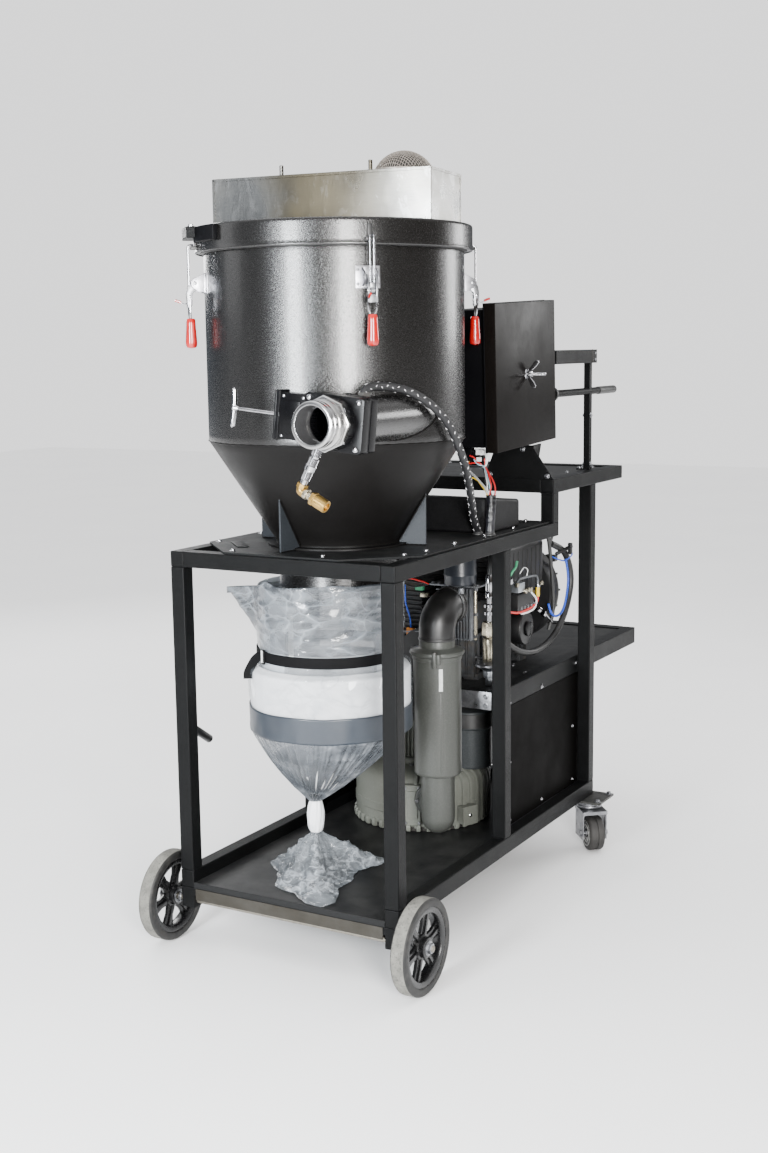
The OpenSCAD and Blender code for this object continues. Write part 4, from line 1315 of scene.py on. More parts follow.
# ------------------------------------------------------------------ top box
def build_top():
    tb = from_cad("top_box", "galv", 0.0024, 3)
    ps = []
    # folded flanges round the ends, a seam and rivets, all in the turned box's own frame
    with at(16, 262, 0, rz=6.5):
        x0, x1, y0, y1 = -279.0, 279.0, -97.0, 97.0
        for xa, xb in ((x0 - 1.6, x0), (x1, x1 + 1.6)):
            for lo, hi in (((xa, y0 - 0.6, 1761), (xb, y0 + 5, 1876)), ((xa, y1 - 5, 1761), (xb, y1 + 0.6, 1876)), ((xa, y0 - 0.6, 1870.5), (xb, y1 + 0.6, 1876.4)), ((xa, y0 - 0.6, 1761), (xb, y1 + 0.6, 1766))):
                ps.append(boxm("fl", lo, hi, "galv", None, 0.0005, 1))
        for ya, yb in ((y0 - 1.5, y0), (y1, y1 + 1.5)):
            for lo, hi in (((x0, ya, 1870), (x1, yb, 1876.4)), ((x0, ya, 1761), (x1, yb, 1765)), ((x0 - 1, ya, 1762), (x0 + 5.6, yb, 1876)), ((x1 - 5.6, ya, 1762), (x1 + 1, yb, 1876))):
                ps.append(boxm("fl", lo, hi, "galv", None, 0.0005, 1))
        for z in (1780, 1820, 1858):
            for y in (y0 + 3, y1 - 3):
                for x, d in ((x1 + 1.4, 1), (x0 - 1.4, -1)):
                    ps.append(lathe("rv", [(0, 0), (2.6, 0), (2.2, 1.1), (0, 1.5)], (x, y, z), (d, 0, 0), "galv", None, 12))
        for x in (-143.5, 90):
            ps.append(lathe("wash", [(0, 0), (11, 0), (11.5, 0.6), (11.5, 1.6), (11, 2.2), (0, 2.2)], (x, 0, 1877), (0, 0, 1), "zinc", None, 28))
            ps.append(lathe("nut", [(5, 0), (10.4, 0), (10.4, 8), (9.4, 9.4), (5, 9.4)], (x, 0, 1879), (0, 0, 1), "zinc", None, 6, smooth=20))
            th = []
            for i in range(13):
                z = 1886 + i * 1.9
                th += [(4.4, z), (5.0, z + 0.95)]
            ps.append(lathe("stud", th + [(4.2, 1911.2), (0, 1911.6)], (x, 0, 0), (0, 0, 1), "zinc", None, 20, smooth=25))
    for o in ps:
        o["_b"] = ROOT
    join("top_box_trim", ps)
    # woven mesh dome over a dark cap, painted shade for the dome's shaded inside
    c = Vector((189.9, 281.8, 1851))
    R = 74.6
    ws = []
    step = 5.6
    nW = int(76 / step)
    for fam in (0, 1):
        for i in range(-nW, nW + 1):
            off = i * step
            if abs(off) > 70.5:
                continue
            rr = math.sqrt(R * R - off * off)
            lim = math.acos(min(1, 26.5 / rr)) if rr > 26.6 else 0
            if lim < 0.1:
                continue
            n = max(8, int(2 * lim * rr / 2.8))
            pts = []
            for k in range(n + 1):
                a = -lim + 2 * lim * k / n
                s_along = rr * math.sin(a)
                wob = 0.55 * math.cos(math.pi * s_along / step + (math.pi if i % 2 else 0) + (math.pi if fam else 0))
                q = Vector((s_along, off, rr * math.cos(a))) if fam == 0 else Vector((off, s_along, rr * math.cos(a)))
                q = q.normalized() * (R + wob)
                pts.append(c + q)
            ws.append(tube("w", pts, 0.8, "meshwire", None, 4, False))
    for o in ws:
        o["_b"] = ROOT
    jm = join("mesh_dome_v", ws)
    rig.replaces(jm, "mesh_dome")
    # painted shade: a dark cap under the mesh in place of the shaded inside
    inner = [(math.sin(math.radians(t)) * 69, math.cos(math.radians(t)) * 69 - 26) for t in range(0, 69, 4)]
    inner = [(0.0 if r < 1e-6 else r, h) for r, h in inner if h > 0]
    lathe("dome_inside", inner, (189.9, 281.8, 1877), (0, 0, 1), "dark", ROOT, 48)
    lathe("dome_collar", [(68, 0), (73, 0), (73.6, 1), (73.6, 5), (72, 6), (69, 6), (68, 5), (68, 0)], (189.9, 281.8, 1877.2), (0, 0, 1), "meshwire", ROOT, 64)


# ------------------------------------------------------------------ inlet
def build_inlet():
    with at(255, 0, 1320, ry=6):
        vb = []
        # two plates of the slide valve with a slot between them

        def plate_hole(y0, y1, hw, hh, r, mat="plastic", cr=5):
            n = 64
            outer = []
            for i in range(n):
                a = 2 * math.pi * i / n + math.pi / n
                cx, cz = math.cos(a), math.sin(a)
                s = min(hw / max(abs(cx), 1e-9), hh / max(abs(cz), 1e-9))
                outer.append((cx * s, cz * s))
            vs, fs = [], []
            for yy in (y0, y1):
                for a in range(n):
                    vs.append(W(outer[a][0], yy, outer[a][1]))
                for a in range(n):
                    an = 2 * math.pi * a / n + math.pi / n
                    vs.append(W(r * math.cos(an), yy, r * math.sin(an)))
            for a in range(n):
                b = (a + 1) % n
                fs += [(a, b, n + b, n + a), (2 * n + a, 3 * n + a, 3 * n + b, 2 * n + b), (a, 2 * n + a, 2 * n + b, b), (n + a, n + b, 3 * n + b, 3 * n + a)]
            o = finish_mesh("plate", vs, fs, mat, None, 35)
            apply_bevel(o, 0.0012, 2, 50)
            return o

        vb.append(plate_hole(-160, -134, 73, 59, 40.8))
        vb.append(plate_hole(-126, -100, 73, 59, 40.8))
        # spacer bars top and bottom of the slot, recessed
        for z0, z1 in ((46.5, 57.5), (-57.5, -46.5)):
            vb.append(boxm("sp", (-71, -134.5, z0), (71, -125.5, z1), "plastic", None, 0.0005, 1))
        vb.append(boxm("sp", (64.5, -134.5, -57), (71.5, -125.5, 57), "plastic", None, 0.0005, 1))
        # bonnet: the housing that the blade slides back into
        for y0, y1 in ((-148, -133.5), (-126.5, -112)):
            vb.append(boxm("bon", (-146, y0, -50), (-71, y1, 50), "plastic", None, 0.0016, 2))
        for z0, z1 in ((46.2, 50), (-50, -46.2)):
            vb.append(boxm("bons", (-146, -134, z0), (-72, -126, z1), "plastic", None, 0.0008, 1))
        vb.append(boxm("endbar", (-153, -150, 5), (-143, -110, 54.5), "plastic", None, 0.0022, 3))
        vb.append(boxm("endbar", (-153, -150, -54.5), (-143, -110, -5), "plastic", None, 0.0022, 3))
        vb.append(boxm("endbar", (-152.5, -149.5, -6), (-143, -135, 6), "plastic", None, 0.001, 2))
        vb.append(boxm("endbar", (-152.5, -125, -6), (-143, -110.5, 6), "plastic", None, 0.001, 2))
        for yy in (-148.5, -111.5):
            vb.append(boxm("rib", (-156.5, yy - 1.6, -53), (-152, yy + 1.6, 53), "plastic", None, 0.001, 2))
        vb.append(lathe("gland", [(4.4, 0), (7.6, 0), (7.6, 5.6), (4.4, 5.6), (4.4, 0)], (-151.5, -130, 0), (-1, 0, 0), "plastic", None, 24))
        # blank relief plate on the bonnet's face
        vb.append(boxm("blank", (-132, -150.4, -34), (-92, -147.6, 34), "plastic", None, 0.001, 2))
        # black flange ring with lobes
        vb.append(lathe("ring", [(40.9, 160), (40.9, 183.6), (52, 183.6), (54.6, 182.4), (56, 179.6), (56, 163), (57.6, 160.4), (57.6, 160)], (0, 0, 0), (0, -1, 0), "plastic", None, 96))
        for k in range(8):
            an = math.radians(22.5 + 45 * k)
            p0 = Vector((54.5 * math.cos(an), -183.2, 54.5 * math.sin(an)))
            vb.append(cylm("lobe", p0, p0 + Vector((0, 23, 0)), 3.2, "plastic", None, 1, 12))
        # domed bolts
        for x, z in ((-61, 49), (61, 49), (-61, -49), (61, -49)):
            for q in bolt((x, -160, z), (0, -1, 0), 6.6, 5.6, "chrome", None, False, "dome"):
                vb.append(q)
            for q in bolt((x, -100, z), (0, 1, 0), 6.6, 4.6, "chrome", None, True, "hex"):
                vb.append(q)
        for x in (-134, -84):
            for z in (-43, 43):
                for q in bolt((x, -148, z), (0, -1, 0), 3.6, 2.6, "chrome", None, False, "dome"):
                    vb.append(q)
        # back flange to the pipe
        vb.append(lathe("bf", [(47.4, 88), (60, 88), (61.5, 89.5), (61.5, 98.5), (60, 100), (47.4, 100), (47.4, 88)], (0, 0, 0), (0, -1, 0), "plastic", None, 80))
        for o in vb:
            o["_b"] = ROOT
        jv = join("valve_body_v", vb)
        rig.replaces(jv, "valve_body")
        # slide: blade, rod and a slightly bowed bright T grip
        sl = [boxm("blade", (-138.6, -131.6, -44.2), (-46.2, -128.4, 44.2), "chrome", None, 0.0006, 1),
              cylm("rod", (-270, -130, 0), (-138, -130, 0), 3.9, "chrome", None, 0.6, 24)]
        bow = []
        rr = []
        for i in range(25):
            t = -1 + 2 * i / 24
            bow.append((-276 + 3.0 * (1 - t * t) - 1.0, -130, 44 * t))
            rr.append(6.0 * math.sqrt(max(0.02, 1 - max(0, abs(t) - 0.86) ** 2 / 0.0215)))
        sl.append(tube("tee", bow, 6, "chrome", None, 24, True, rr))
        sl.append(lathe("neck", [(3.9, 0), (4.2, 0), (7.2, 8), (8, 13), (0, 13)], (-262, -130, 0), (-1, 0, 0), "chrome", None, 28))
        for o in sl:
            o["_b"] = "valve_slide"
        js = join("valve_slide_v", sl)
        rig.replaces(js, "valve_slide")
    # adapter: turned aluminium with grooves and an eight sided flange
    y0 = 245.0
    prof = [(40.9, y0 - 0.2), (42, y0), (46.6, y0), (48.6, y0 - 0.8), (49.9, y0 - 2.4), (50, y0 - 5)]
    prof += [(50, 233), (48.6, 232), (48.6, 230.6), (50, 229.6), (50, 221), (47.6, 219.4), (45.6, 217.4), (45.2, 214), (46.6, 211.4), (49.8, 209.6), (52.6, 208.4), (53, 206), (53, 203.6), (51.4, 202.8), (51.4, 201.6), (53, 200.8), (53, 196.4)]
    prof += [(40.9, 196.4)]
    lathe("bore_liner", [(40.3, 132.8), (40.9, 132.8), (40.9, 184), (40.3, 184)], (255, 0, 1320), (0, -1, 0), "shroud", ROOT, 160, smooth=50)
    lathe("bore_liner_in", [(40.3, -60), (40.7, -60), (40.7, 127), (40.3, 127)], (255, 0, 1320), (0, -1, 0), "shroud", ROOT, 160, smooth=50)
    ad = lathe("adapter_body", prof, (255, 0, 1320), (0, -1, 0), "turned", None, 160, smooth=50)
    bore = lathe("adapter_bore", [(40.9, 244.8), (40.9, 186)], (255, 0, 1320), (0, -1, 0), "boregrey", None, 96)
    octs = []
    for r0, r1, ya, yb in ((60, 60, 195.4, 185.2),):
        octs.append(lathe("oct", [(41, 196.6), (r0 - 2.4, 196.6), (r0, 194.6), (r1, 186), (r1 - 2, 184.3), (44.6, 184.3), (44.6, 196.6)], (255, 0, 1320), (0, -1, 0), "turned", None, 8, smooth=15))
    for o in (ad, bore, *octs):
        o["_b"] = ROOT
    ja = join("inlet_adapter_v", [ad, bore] + octs)
    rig.replaces(ja, "inlet_adapter")
    # drain: threaded bright nipple, brass elbow and a knurled brass coupler
    with at(255, -172, 1320, ry=28):
        dn = []
        th = [(0, -56.4), (8, -56.4)]

        def thread(z0, z1, r):
            out = []
            z = z0
            while z > z1:
                out += [(r - 0.9, z), (r, z - 1.1)]
                z -= 2.2
            return out

        th += thread(-57, -76, 11.2) + [(8.8, -78), (8.8, -82)] + thread(-83, -100, 11.4) + [(12.6, -101), (12.6, -112), (9.4, -113)] + thread(-114, -134, 10.6) + [(9, -135), (9, -150), (0, -150)]
        dn.append(lathe("nip", th, (0, 0, 0), (0, 0, 1), "chrome", None, 40, smooth=22))
        dn.append(lathe("collar", [(9, 0), (12.6, 0), (13, 0.8), (13, 9), (12.4, 10), (9, 10)], (0, 0, -146), (0, 0, -1), "brass", None, 8, smooth=20))
        dn.append(tube("elb", smooth_path([(0, 0, -152), (0, 0, -158), (1.6, 0, -161.6), (6, 0, -163), (14, 0, -163.2)], 5), 10.6, "brass", None, 24, True))
        p0 = Vector((12, 0, -162))
        prof2 = [(0, 0), (11.6, 0), (12.2, 1), (12.2, 8), (11.4, 9), (8.4, 9.4), (8.4, 15), (9.6, 16), (9.6, 20), (8.4, 21), (8.4, 26), (10, 27)]
        dn.append(lathe("neck", prof2, p0, (1, 0, 0), "brasspale", None, 40, smooth=30))
        dn.append(lathe("hex", [(8, 0), (14.6, 0), (15.4, 1), (15.4, 8), (14.4, 9), (8, 9)], p0 + Vector((20, 0, 0)), (1, 0, 0), "brass", None, 6, smooth=20))
        # knurled sleeve
        n = 48
        vs, fs = [], []
        hs = [(0, 12), (1, 14), (4, 14.4), (8, 14.4), (12, 14.4), (16, 14.4), (20, 14.4), (24, 14.4), (28, 14.4), (31, 14.2), (32, 13), (32, 9.5), (27, 9)]
        for j, (h, r) in enumerate(hs):
            for i in range(n):
                an = 2 * math.pi * i / n
                kn = 0.55 if (i % 2 == 0) and 2 <= j <= 8 else 0
                vs.append(W(p0.x + 29 + h, p0.y + (r - kn) * math.cos(an), p0.z + (r - kn) * math.sin(an)))
        for j in range(len(hs) - 1):
            for i in range(n):
                k = (i + 1) % n
                fs.append((j * n + i, j * n + k, (j + 1) * n + k, (j + 1) * n + i))
        cpl = finish_mesh("coupler", vs, fs, "brass", None, 18)
        dn.append(cpl)
        dn.append(lathe("inner", [(0, 0), (9.4, 0), (9.4, 5)], p0 + Vector((56, 0, 0)), (1, 0, 0), "brass", None, 24))
        for o in dn:
            o["_b"] = ROOT
        jd = join("drain_fitting_v", dn)
        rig.replaces(jd, "drain_fitting")


build_frame()
build_decks()
build_running()
build_drum()
build_latches()
build_lug_arm()
build_top()
build_inlet()

# ------------------------------------------------------------------ bag
BX, BY = -23.0, 261.0


def ridge(p, f, seed=0.0, octs=4):
    """Sharp crease noise from 0 to 1."""
    v, a, s = 0.0, 1.0, 0.0
    for k in range(octs):
        q = Vector(p) * (f * 2 ** k) + Vector((seed, seed * 1.7, -seed))
        v += a * (1 - min(1, abs(noise.noise(q)) * 2.4))
        s += a
        a *= 0.5
    return v / s


def loop_sheet(name, rows, cols, fn, mat, body=ROOT, smooth=60, closed=True):
    """A sheet from fn(i / rows, angle) giving a point in mm; closed round the angle."""
    vs, fs = [], []
    m = cols if closed else cols + 1
    for i in range(rows + 1):
        for k in range(m):
            vs.append(W(*fn(i / rows, 2 * math.pi * k / cols)))
    for i in range(rows):
        for k in range(cols):
            b = (k + 1) % m if closed else k + 1
            fs.append((i * m + k, i * m + b, (i + 1) * m + b, (i + 1) * m + k))
    o = finish_mesh(name, vs, fs, mat, None, smooth)
    if body:
        o["_b"] = body
        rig.ride(o, body)
    return o


def ang_gap(a, b):
    d = (a - b + math.pi) % (2 * math.pi) - math.pi
    return d


def smooth01(t):
    t = max(0.0, min(1.0, t))
    return t * t * (3 - 2 * t)


def build_bag():
    # chute under the deck
    ch = lathe("bag_chute_v", [(144, 996), (147.5, 996), (147.5, 906), (148.6, 904), (149.4, 902), (148.6, 900.2), (145, 900), (144, 902), (144, 996)], (0, 275, 0), (0, 0, 1), "drum", ROOT, 96)
    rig.replaces(ch, "bag_chute")
    # rigid clear sleeve
    sl = lathe("clear_sleeve_v", [(176, 700), (178, 701), (178, 899), (176.8, 900.5), (175, 900.5), (174.2, 899), (174.2, 701), (176, 700)], (BX, BY, 0), (0, 0, 1), "clear", ROOT, 128)
    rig.replaces(sl, "clear_sleeve")
    # a white strip down the front of the sleeve: a painted highlight
    with at(BX, BY, 0, rz=-89.7):
        boxm("sleeve_painted_highlight", (178.2, -7.0, 742), (179.4, 7.0, 851), "white", ROOT, 0.0005, 1)
    # film gathered round the sleeve, with a flap pinched out at the left
    wa = math.radians(-146)

    def top_edge(a):
        # lower at the left and the back, highest at the near right
        k = 0.5 + 0.5 * math.cos(a - math.radians(-45))
        z = 884 + 36 * k + 5 * noise.noise(Vector((math.cos(a) * 2.4, math.sin(a) * 2.4, 0.7)))
        g = abs(ang_gap(a, math.radians(-112)))
        return z + 13 * math.exp(-(g / 0.16) ** 2)

    def skirt(t, a):
        fold = smooth01((t - 0.84) / 0.16)
        tt = min(1.0, t / 0.86)
        zt = top_edge(a)
        g = ang_gap(a, wa)
        wgt = math.exp(-(g / 0.13) ** 2)
        z = 749 + (zt - 749) * tt
        p = (math.cos(a) * 0.19, math.sin(a) * 0.19, z / 1000 * 1.25)
        c = ridge(p, 5.2, 3.1, 2)
        c2 = ridge((p[0] * 0.6, p[1] * 0.6, p[2] * 2.3), 6.5, 9.4, 2)
        low = noise.noise(Vector((math.cos(a) * 1.6, math.sin(a) * 1.6, z / 1000 * 7)))
        r = 181.2 + 4.5 * smooth01(tt * 2.4)
        amp = 2.5 + 7.5 * smooth01((tt - 0.06) * 2.2)
        r += amp * (0.55 * c + 0.45 * c2 - 0.32) + 4.5 * low * smooth01(tt * 2.5)
        # the flap widens towards its tip at the top edge
        h = max(0.0, min(1.0, (tt - 0.26) / 0.70))
        r += 66 * h * wgt * (0.94 + 0.10 * c)
        r = max(r, 180.6)
        r -= 40 * fold * (1 - wgt)
        z -= (7 + 10 * wgt) * fold
        x = BX + r * math.cos(a)
        y = BY + r * math.sin(a)
        return (x, y, min(z, 936))

    fs = loop_sheet("bag_film_top", 84, 280, skirt, "film", smooth=50)

    # black strap with a bright buckle and a loose tail
    st = []
    n = 120
    vs, f = [], []
    for i in range(n):
        a = 2 * math.pi * i / n
        rr = 184.2 + 0.7 * noise.noise(Vector((math.cos(a) * 3, math.sin(a) * 3, 0.5)))
        dz = 1.2 * noise.noise(Vector((math.cos(a) * 2, math.sin(a) * 2, 5.5)))
        for r, z in ((rr - 2.2, 721), (rr - 0.3, 720.4), (rr, 721.2), (rr, 746.8), (rr - 0.3, 747.6), (rr - 2.2, 747)):
            vs.append(W(BX + r * math.cos(a), BY + r * math.sin(a), z + dz))
    for i in range(n):
        j = (i + 1) % n
        for k in range(5):
            f.append((6 * i + k, 6 * j + k, 6 * j + k + 1, 6 * i + k + 1))
        f.append((6 * i + 5, 6 * j + 5, 6 * j, 6 * i))
    st.append(finish_mesh("strap", vs, f, "strap", None, 35))
    with at(BX, BY, 0, rz=-122):
        for y0, y1 in ((-1.5, 1.5), (13, 16)):
            st.append(boxm("bk", (184, y0, 716), (188.4, y1, 752), "white" if y0 < 0 else "plastic", None, 0.0009, 2))
        st.append(boxm("bk", (184, -1.5, 749), (188.4, 16, 752), "plastic", None, 0.0009, 2))
        st.append(boxm("bk", (184, -1.5, 716), (188.4, 16, 719), "plastic", None, 0.0009, 2))
        # tail: a ribbon that hangs and twists
        path = smooth_path([(187, -2, 736), (190, -12, 732), (196, -22, 722), (203, -29, 706), (210, -32, 690), (212, -29, 676)], 6)
        vs, f = [], []
        m = len(path)
        for i, p in enumerate(path):
            tn = (path[min(i + 1, m - 1)] - path[max(i - 1, 0)]).normalized()
            vd = Vector((0.47, 0.88, 0.1)).normalized()
            wdir = tn.cross(vd).normalized()
            vd = wdir.cross(tn)
            hw = 11.0
            for s_, off in ((-1, 0.8), (1, 0.8), (1, -0.8), (-1, -0.8)):
                vs.append(W(*(p + wdir * hw * s_ + vd * off)))
        for i in range(m - 1):
            for k in range(4):
                f.append((4 * i + k, 4 * i + (k + 1) % 4, 4 * i + 4 + (k + 1) % 4, 4 * i + 4 + k))
        f += [(0, 3, 2, 1), (4 * m - 4, 4 * m - 3, 4 * m - 2, 4 * m - 1)]
        st.append(finish_mesh("tail", vs, f, "strap", None, 50))
    for o in st:
        o["_b"] = ROOT
    strap = join("bag_strap", st)
    # smooth blue-grey band
    def band(t, a):
        z = 602.5 - 63.5 * t + 1.6 * noise.noise(Vector((math.cos(a) * 2.2, math.sin(a) * 2.2, 1.5))) * (1 if t in (0, 1) else 1)
        r = 205.2 + 0.9 * noise.noise(Vector((math.cos(a) * 4, math.sin(a) * 4, z / 40))) - 1.2 * t + 1.8 * ridge((math.cos(a) * 0.2, math.sin(a) * 0.2, z / 1000), 16, 5.5, 3) * smooth01((t - 0.55) * 2)
        return (BX + r * math.cos(a), BY + r * math.sin(a), z)

    bo = loop_sheet("bag_band", 14, 200, band, "band")
    md = bo.modifiers.new("thick", "SOLIDIFY")
    md.thickness = 0.0016
    md.offset = -1
    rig.replaces(bo, "bag_bands")
    # white pack under the film, its top edge rounded over
    def pack(t, a):
        z = 704 - 106 * t
        p = (math.cos(a) * 0.2, math.sin(a) * 0.2, z / 1000 * 0.5)
        c = ridge(p, 5, 1.4, 2)
        r = 200.4 + 2.0 * (c - 0.4) + 0.9 * math.sin(a * 17 + 3 * c) * (1 - t)
        r -= 17 * smooth01((0.12 - t) / 0.12)
        return (BX + r * math.cos(a), BY + r * math.sin(a), z + 2.0 * (c - 0.5) * (1 - t))

    pk = loop_sheet("bag_pack_v", 40, 240, pack, "pack")
    md = pk.modifiers.new("thick", "SOLIDIFY")
    md.thickness = 0.003
    md.offset = -1
    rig.replaces(pk, "bag_pack")

    # outer film from under the strap down into the band
    def mid(t, a):
        z = 723 - 122 * t
        p = (math.cos(a) * 0.19, math.sin(a) * 0.19, z / 1000 * 1.2)
        c = ridge(p, 6, 6.2, 2)
        k = smooth01((t - 0.03) / 0.20)
        r = 180.8 + 22.4 * k
        near = math.exp(-(ang_gap(a, math.radians(-15)) / 0.42) ** 2) + math.exp(-(ang_gap(a, math.radians(-140)) / 0.35) ** 2)
        fold = (1.6 + 2.6 * near) * k * (1 - smooth01((t - 0.7) / 0.3)) * (0.5 + c)
        r += fold * math.sin(a * 17 + 4 * noise.noise(Vector((math.cos(a) * 2, math.sin(a) * 2, t * 2)))) + 1.6 * (c - 0.4) * k
        return (BX + r * math.cos(a), BY + r * math.sin(a), z + 2 * (c - 0.5) * k)

    mf = loop_sheet("bag_film_mid", 50, 300, mid, "filmthin", smooth=50)
    # pleated cone down to the tie
    NX, NY, NZ = -61.0, 238.0, 340.0

    def cone(t, a):
        ease = t ** 1.06
        cx, cy = BX + (NX - BX) * ease, BY + (NY - BY) * ease
        R0 = 201.5 * (1 - ease) ** 0.96 + 13.0 * ease
        R0 += 7.5 * math.sin(math.pi * min(1, t * 1.15)) * (1 - t)
        z = 540 - 198 * t
        ph = 2.4 * noise.noise(Vector((math.cos(a) * 1.8, math.sin(a) * 1.8, 7)))
        n1 = abs(math.sin(a * 19 + ph))
        n2 = abs(math.sin(a * 43 - 2 * ph))
        c = ridge((math.cos(a) * R0 / 1000, math.sin(a) * R0 / 1000, z / 1000), 11, 2.2, 3)
        amp = (4.0 + 17.0 * smooth01(t * 1.5)) * min(1.0, R0 / 58)
        r = R0 + amp * (0.62 * n1 + 0.38 * n2 - 0.55) + 2.2 * (c - 0.5) * min(1, R0 / 40)
        return (cx + r * math.cos(a), cy + r * math.sin(a), z + 1.5 * (c - 0.5))

    cn = loop_sheet("bag_cone_v", 66, 520, cone, "whitefilm", smooth=50)
    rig.replaces(cn, "bag_cone")
    # what has settled in the bottom of the bag, seen through the film
    ds = lathe("bag_dust", [(0, 470), (70, 469), (116, 464), (124, 456), (104, 430), (70, 396), (34, 366), (0, 358)], (BX - 22, BY - 13, 0), (0, 0, 1), "packshade", ROOT, 72)
    # knot: bunched film wrapped round the neck
    def knot(t, a):
        z = 343 - 82 * t
        prof = math.sin(math.pi * min(1, max(0, t * 0.94 + 0.03))) ** 0.42
        r = 9.5 + 12.2 * prof
        r += 1.5 * abs(math.sin(a * 5 + 2.1 * t)) - 0.7 + 0.9 * noise.noise(Vector((math.cos(a) * 3, math.sin(a) * 3, t * 6)))
        return (NX + r * math.cos(a), NY + r * math.sin(a), z)

    kn = loop_sheet("bag_knot", 30, 60, knot, "pack")
    ties = []
    for z, r in ((341.5, 11.2), (262.5, 11.4)):
        pts = [(NX + r * math.cos(2 * math.pi * i / 24), NY + r * math.sin(2 * math.pi * i / 24), z + 0.8 * math.sin(i)) for i in range(25)]
        ties.append(tube("tie", pts, 1.9, "catch", None, 8, False))
    for o in ties:
        o["_b"] = ROOT
    join("bag_ties", ties)
    # loose end of the bag spread on the tray
    ends = [(-170, 130), (-150, 112), (-128, 104), (-108, 128), (-95, 168), (-84, 182), (-74, 200), (-64, 262), (-55, 284), (-48, 262), (-42, 176), (-34, 160), (-20, 142), (-4, 116), (12, 112), (26, 146), (38, 172), (47, 178), (57, 160), (72, 120), (100, 88), (130, 82), (160, 100), (180, 118)]

    def reach(deg):
        deg = (deg + 180) % 360 - 180
        pts = [(a - 360, r) for a, r in ends[-3:]] + ends + [(a + 360, r) for a, r in ends[:3]]
        for (a0, r0), (a1, r1) in zip(pts, pts[1:]):
            if a0 <= deg <= a1:
                return r0 + (r1 - r0) * (deg - a0) / (a1 - a0)
        return 110

    def puff(t, a):
        deg = math.degrees(a)
        L = reach(deg)
        d = 10 + (L - 10) * t ** 0.94
        p = (math.cos(a) * d / 1000, math.sin(a) * d / 1000, 0.3 * t)
        c = ridge(p, 11, 4.4, 2)
        fine = ridge(p, 26, 9.1, 2)
        drop = smooth01(t * 1.0)
        lob = 0.0
        for la, lw, lh in ((-56, 15, 34), (40, 22, 40), (-100, 30, 26), (175, 40, 30)):
            g = abs((deg - la + 180) % 360 - 180)
            lob += lh * math.exp(-(g / lw) ** 2)
        zt = 262 - (262 - 168) * (1 - (1 - min(1, t * 1.25)) ** 1.5)
        z = zt + lob * math.sin(math.pi * min(1, t * 1.02)) * 0.62 + (17 * (c - 0.5) + 6 * (fine - 0.5)) * min(1, t * 3.5) * (1 - 0.8 * smooth01((t - 0.85) / 0.15))
        pl = 1 + 0.10 * math.sin(a * 11 + 2 * c) * (1 - t) * min(1, t * 5)
        z = max(z, 165.4 + 2.4 * c)
        a2 = a + 0.05 * (c - 0.5) * min(1, t * 4)
        return (NX + d * pl * math.cos(a2), NY + d * pl * math.sin(a2), min(z, 262))

    pf = loop_sheet("bag_tail_v", 64, 280, puff, "tailfilm", smooth=40)
    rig.replaces(pf, "bag_tail")
    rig.sheet(fs, (1.30, 0.22), "gathered", rests_on=[sl])
    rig.sheet(mf, (1.30, 0.13), "gathered", rests_on=[pk])
    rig.sheet(cn, (1.30, 0.262), "gathered", rests_on=[bo])
    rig.sheet(pf, (0.62, 0.22), "gathered", rests_on=["base_tray"])


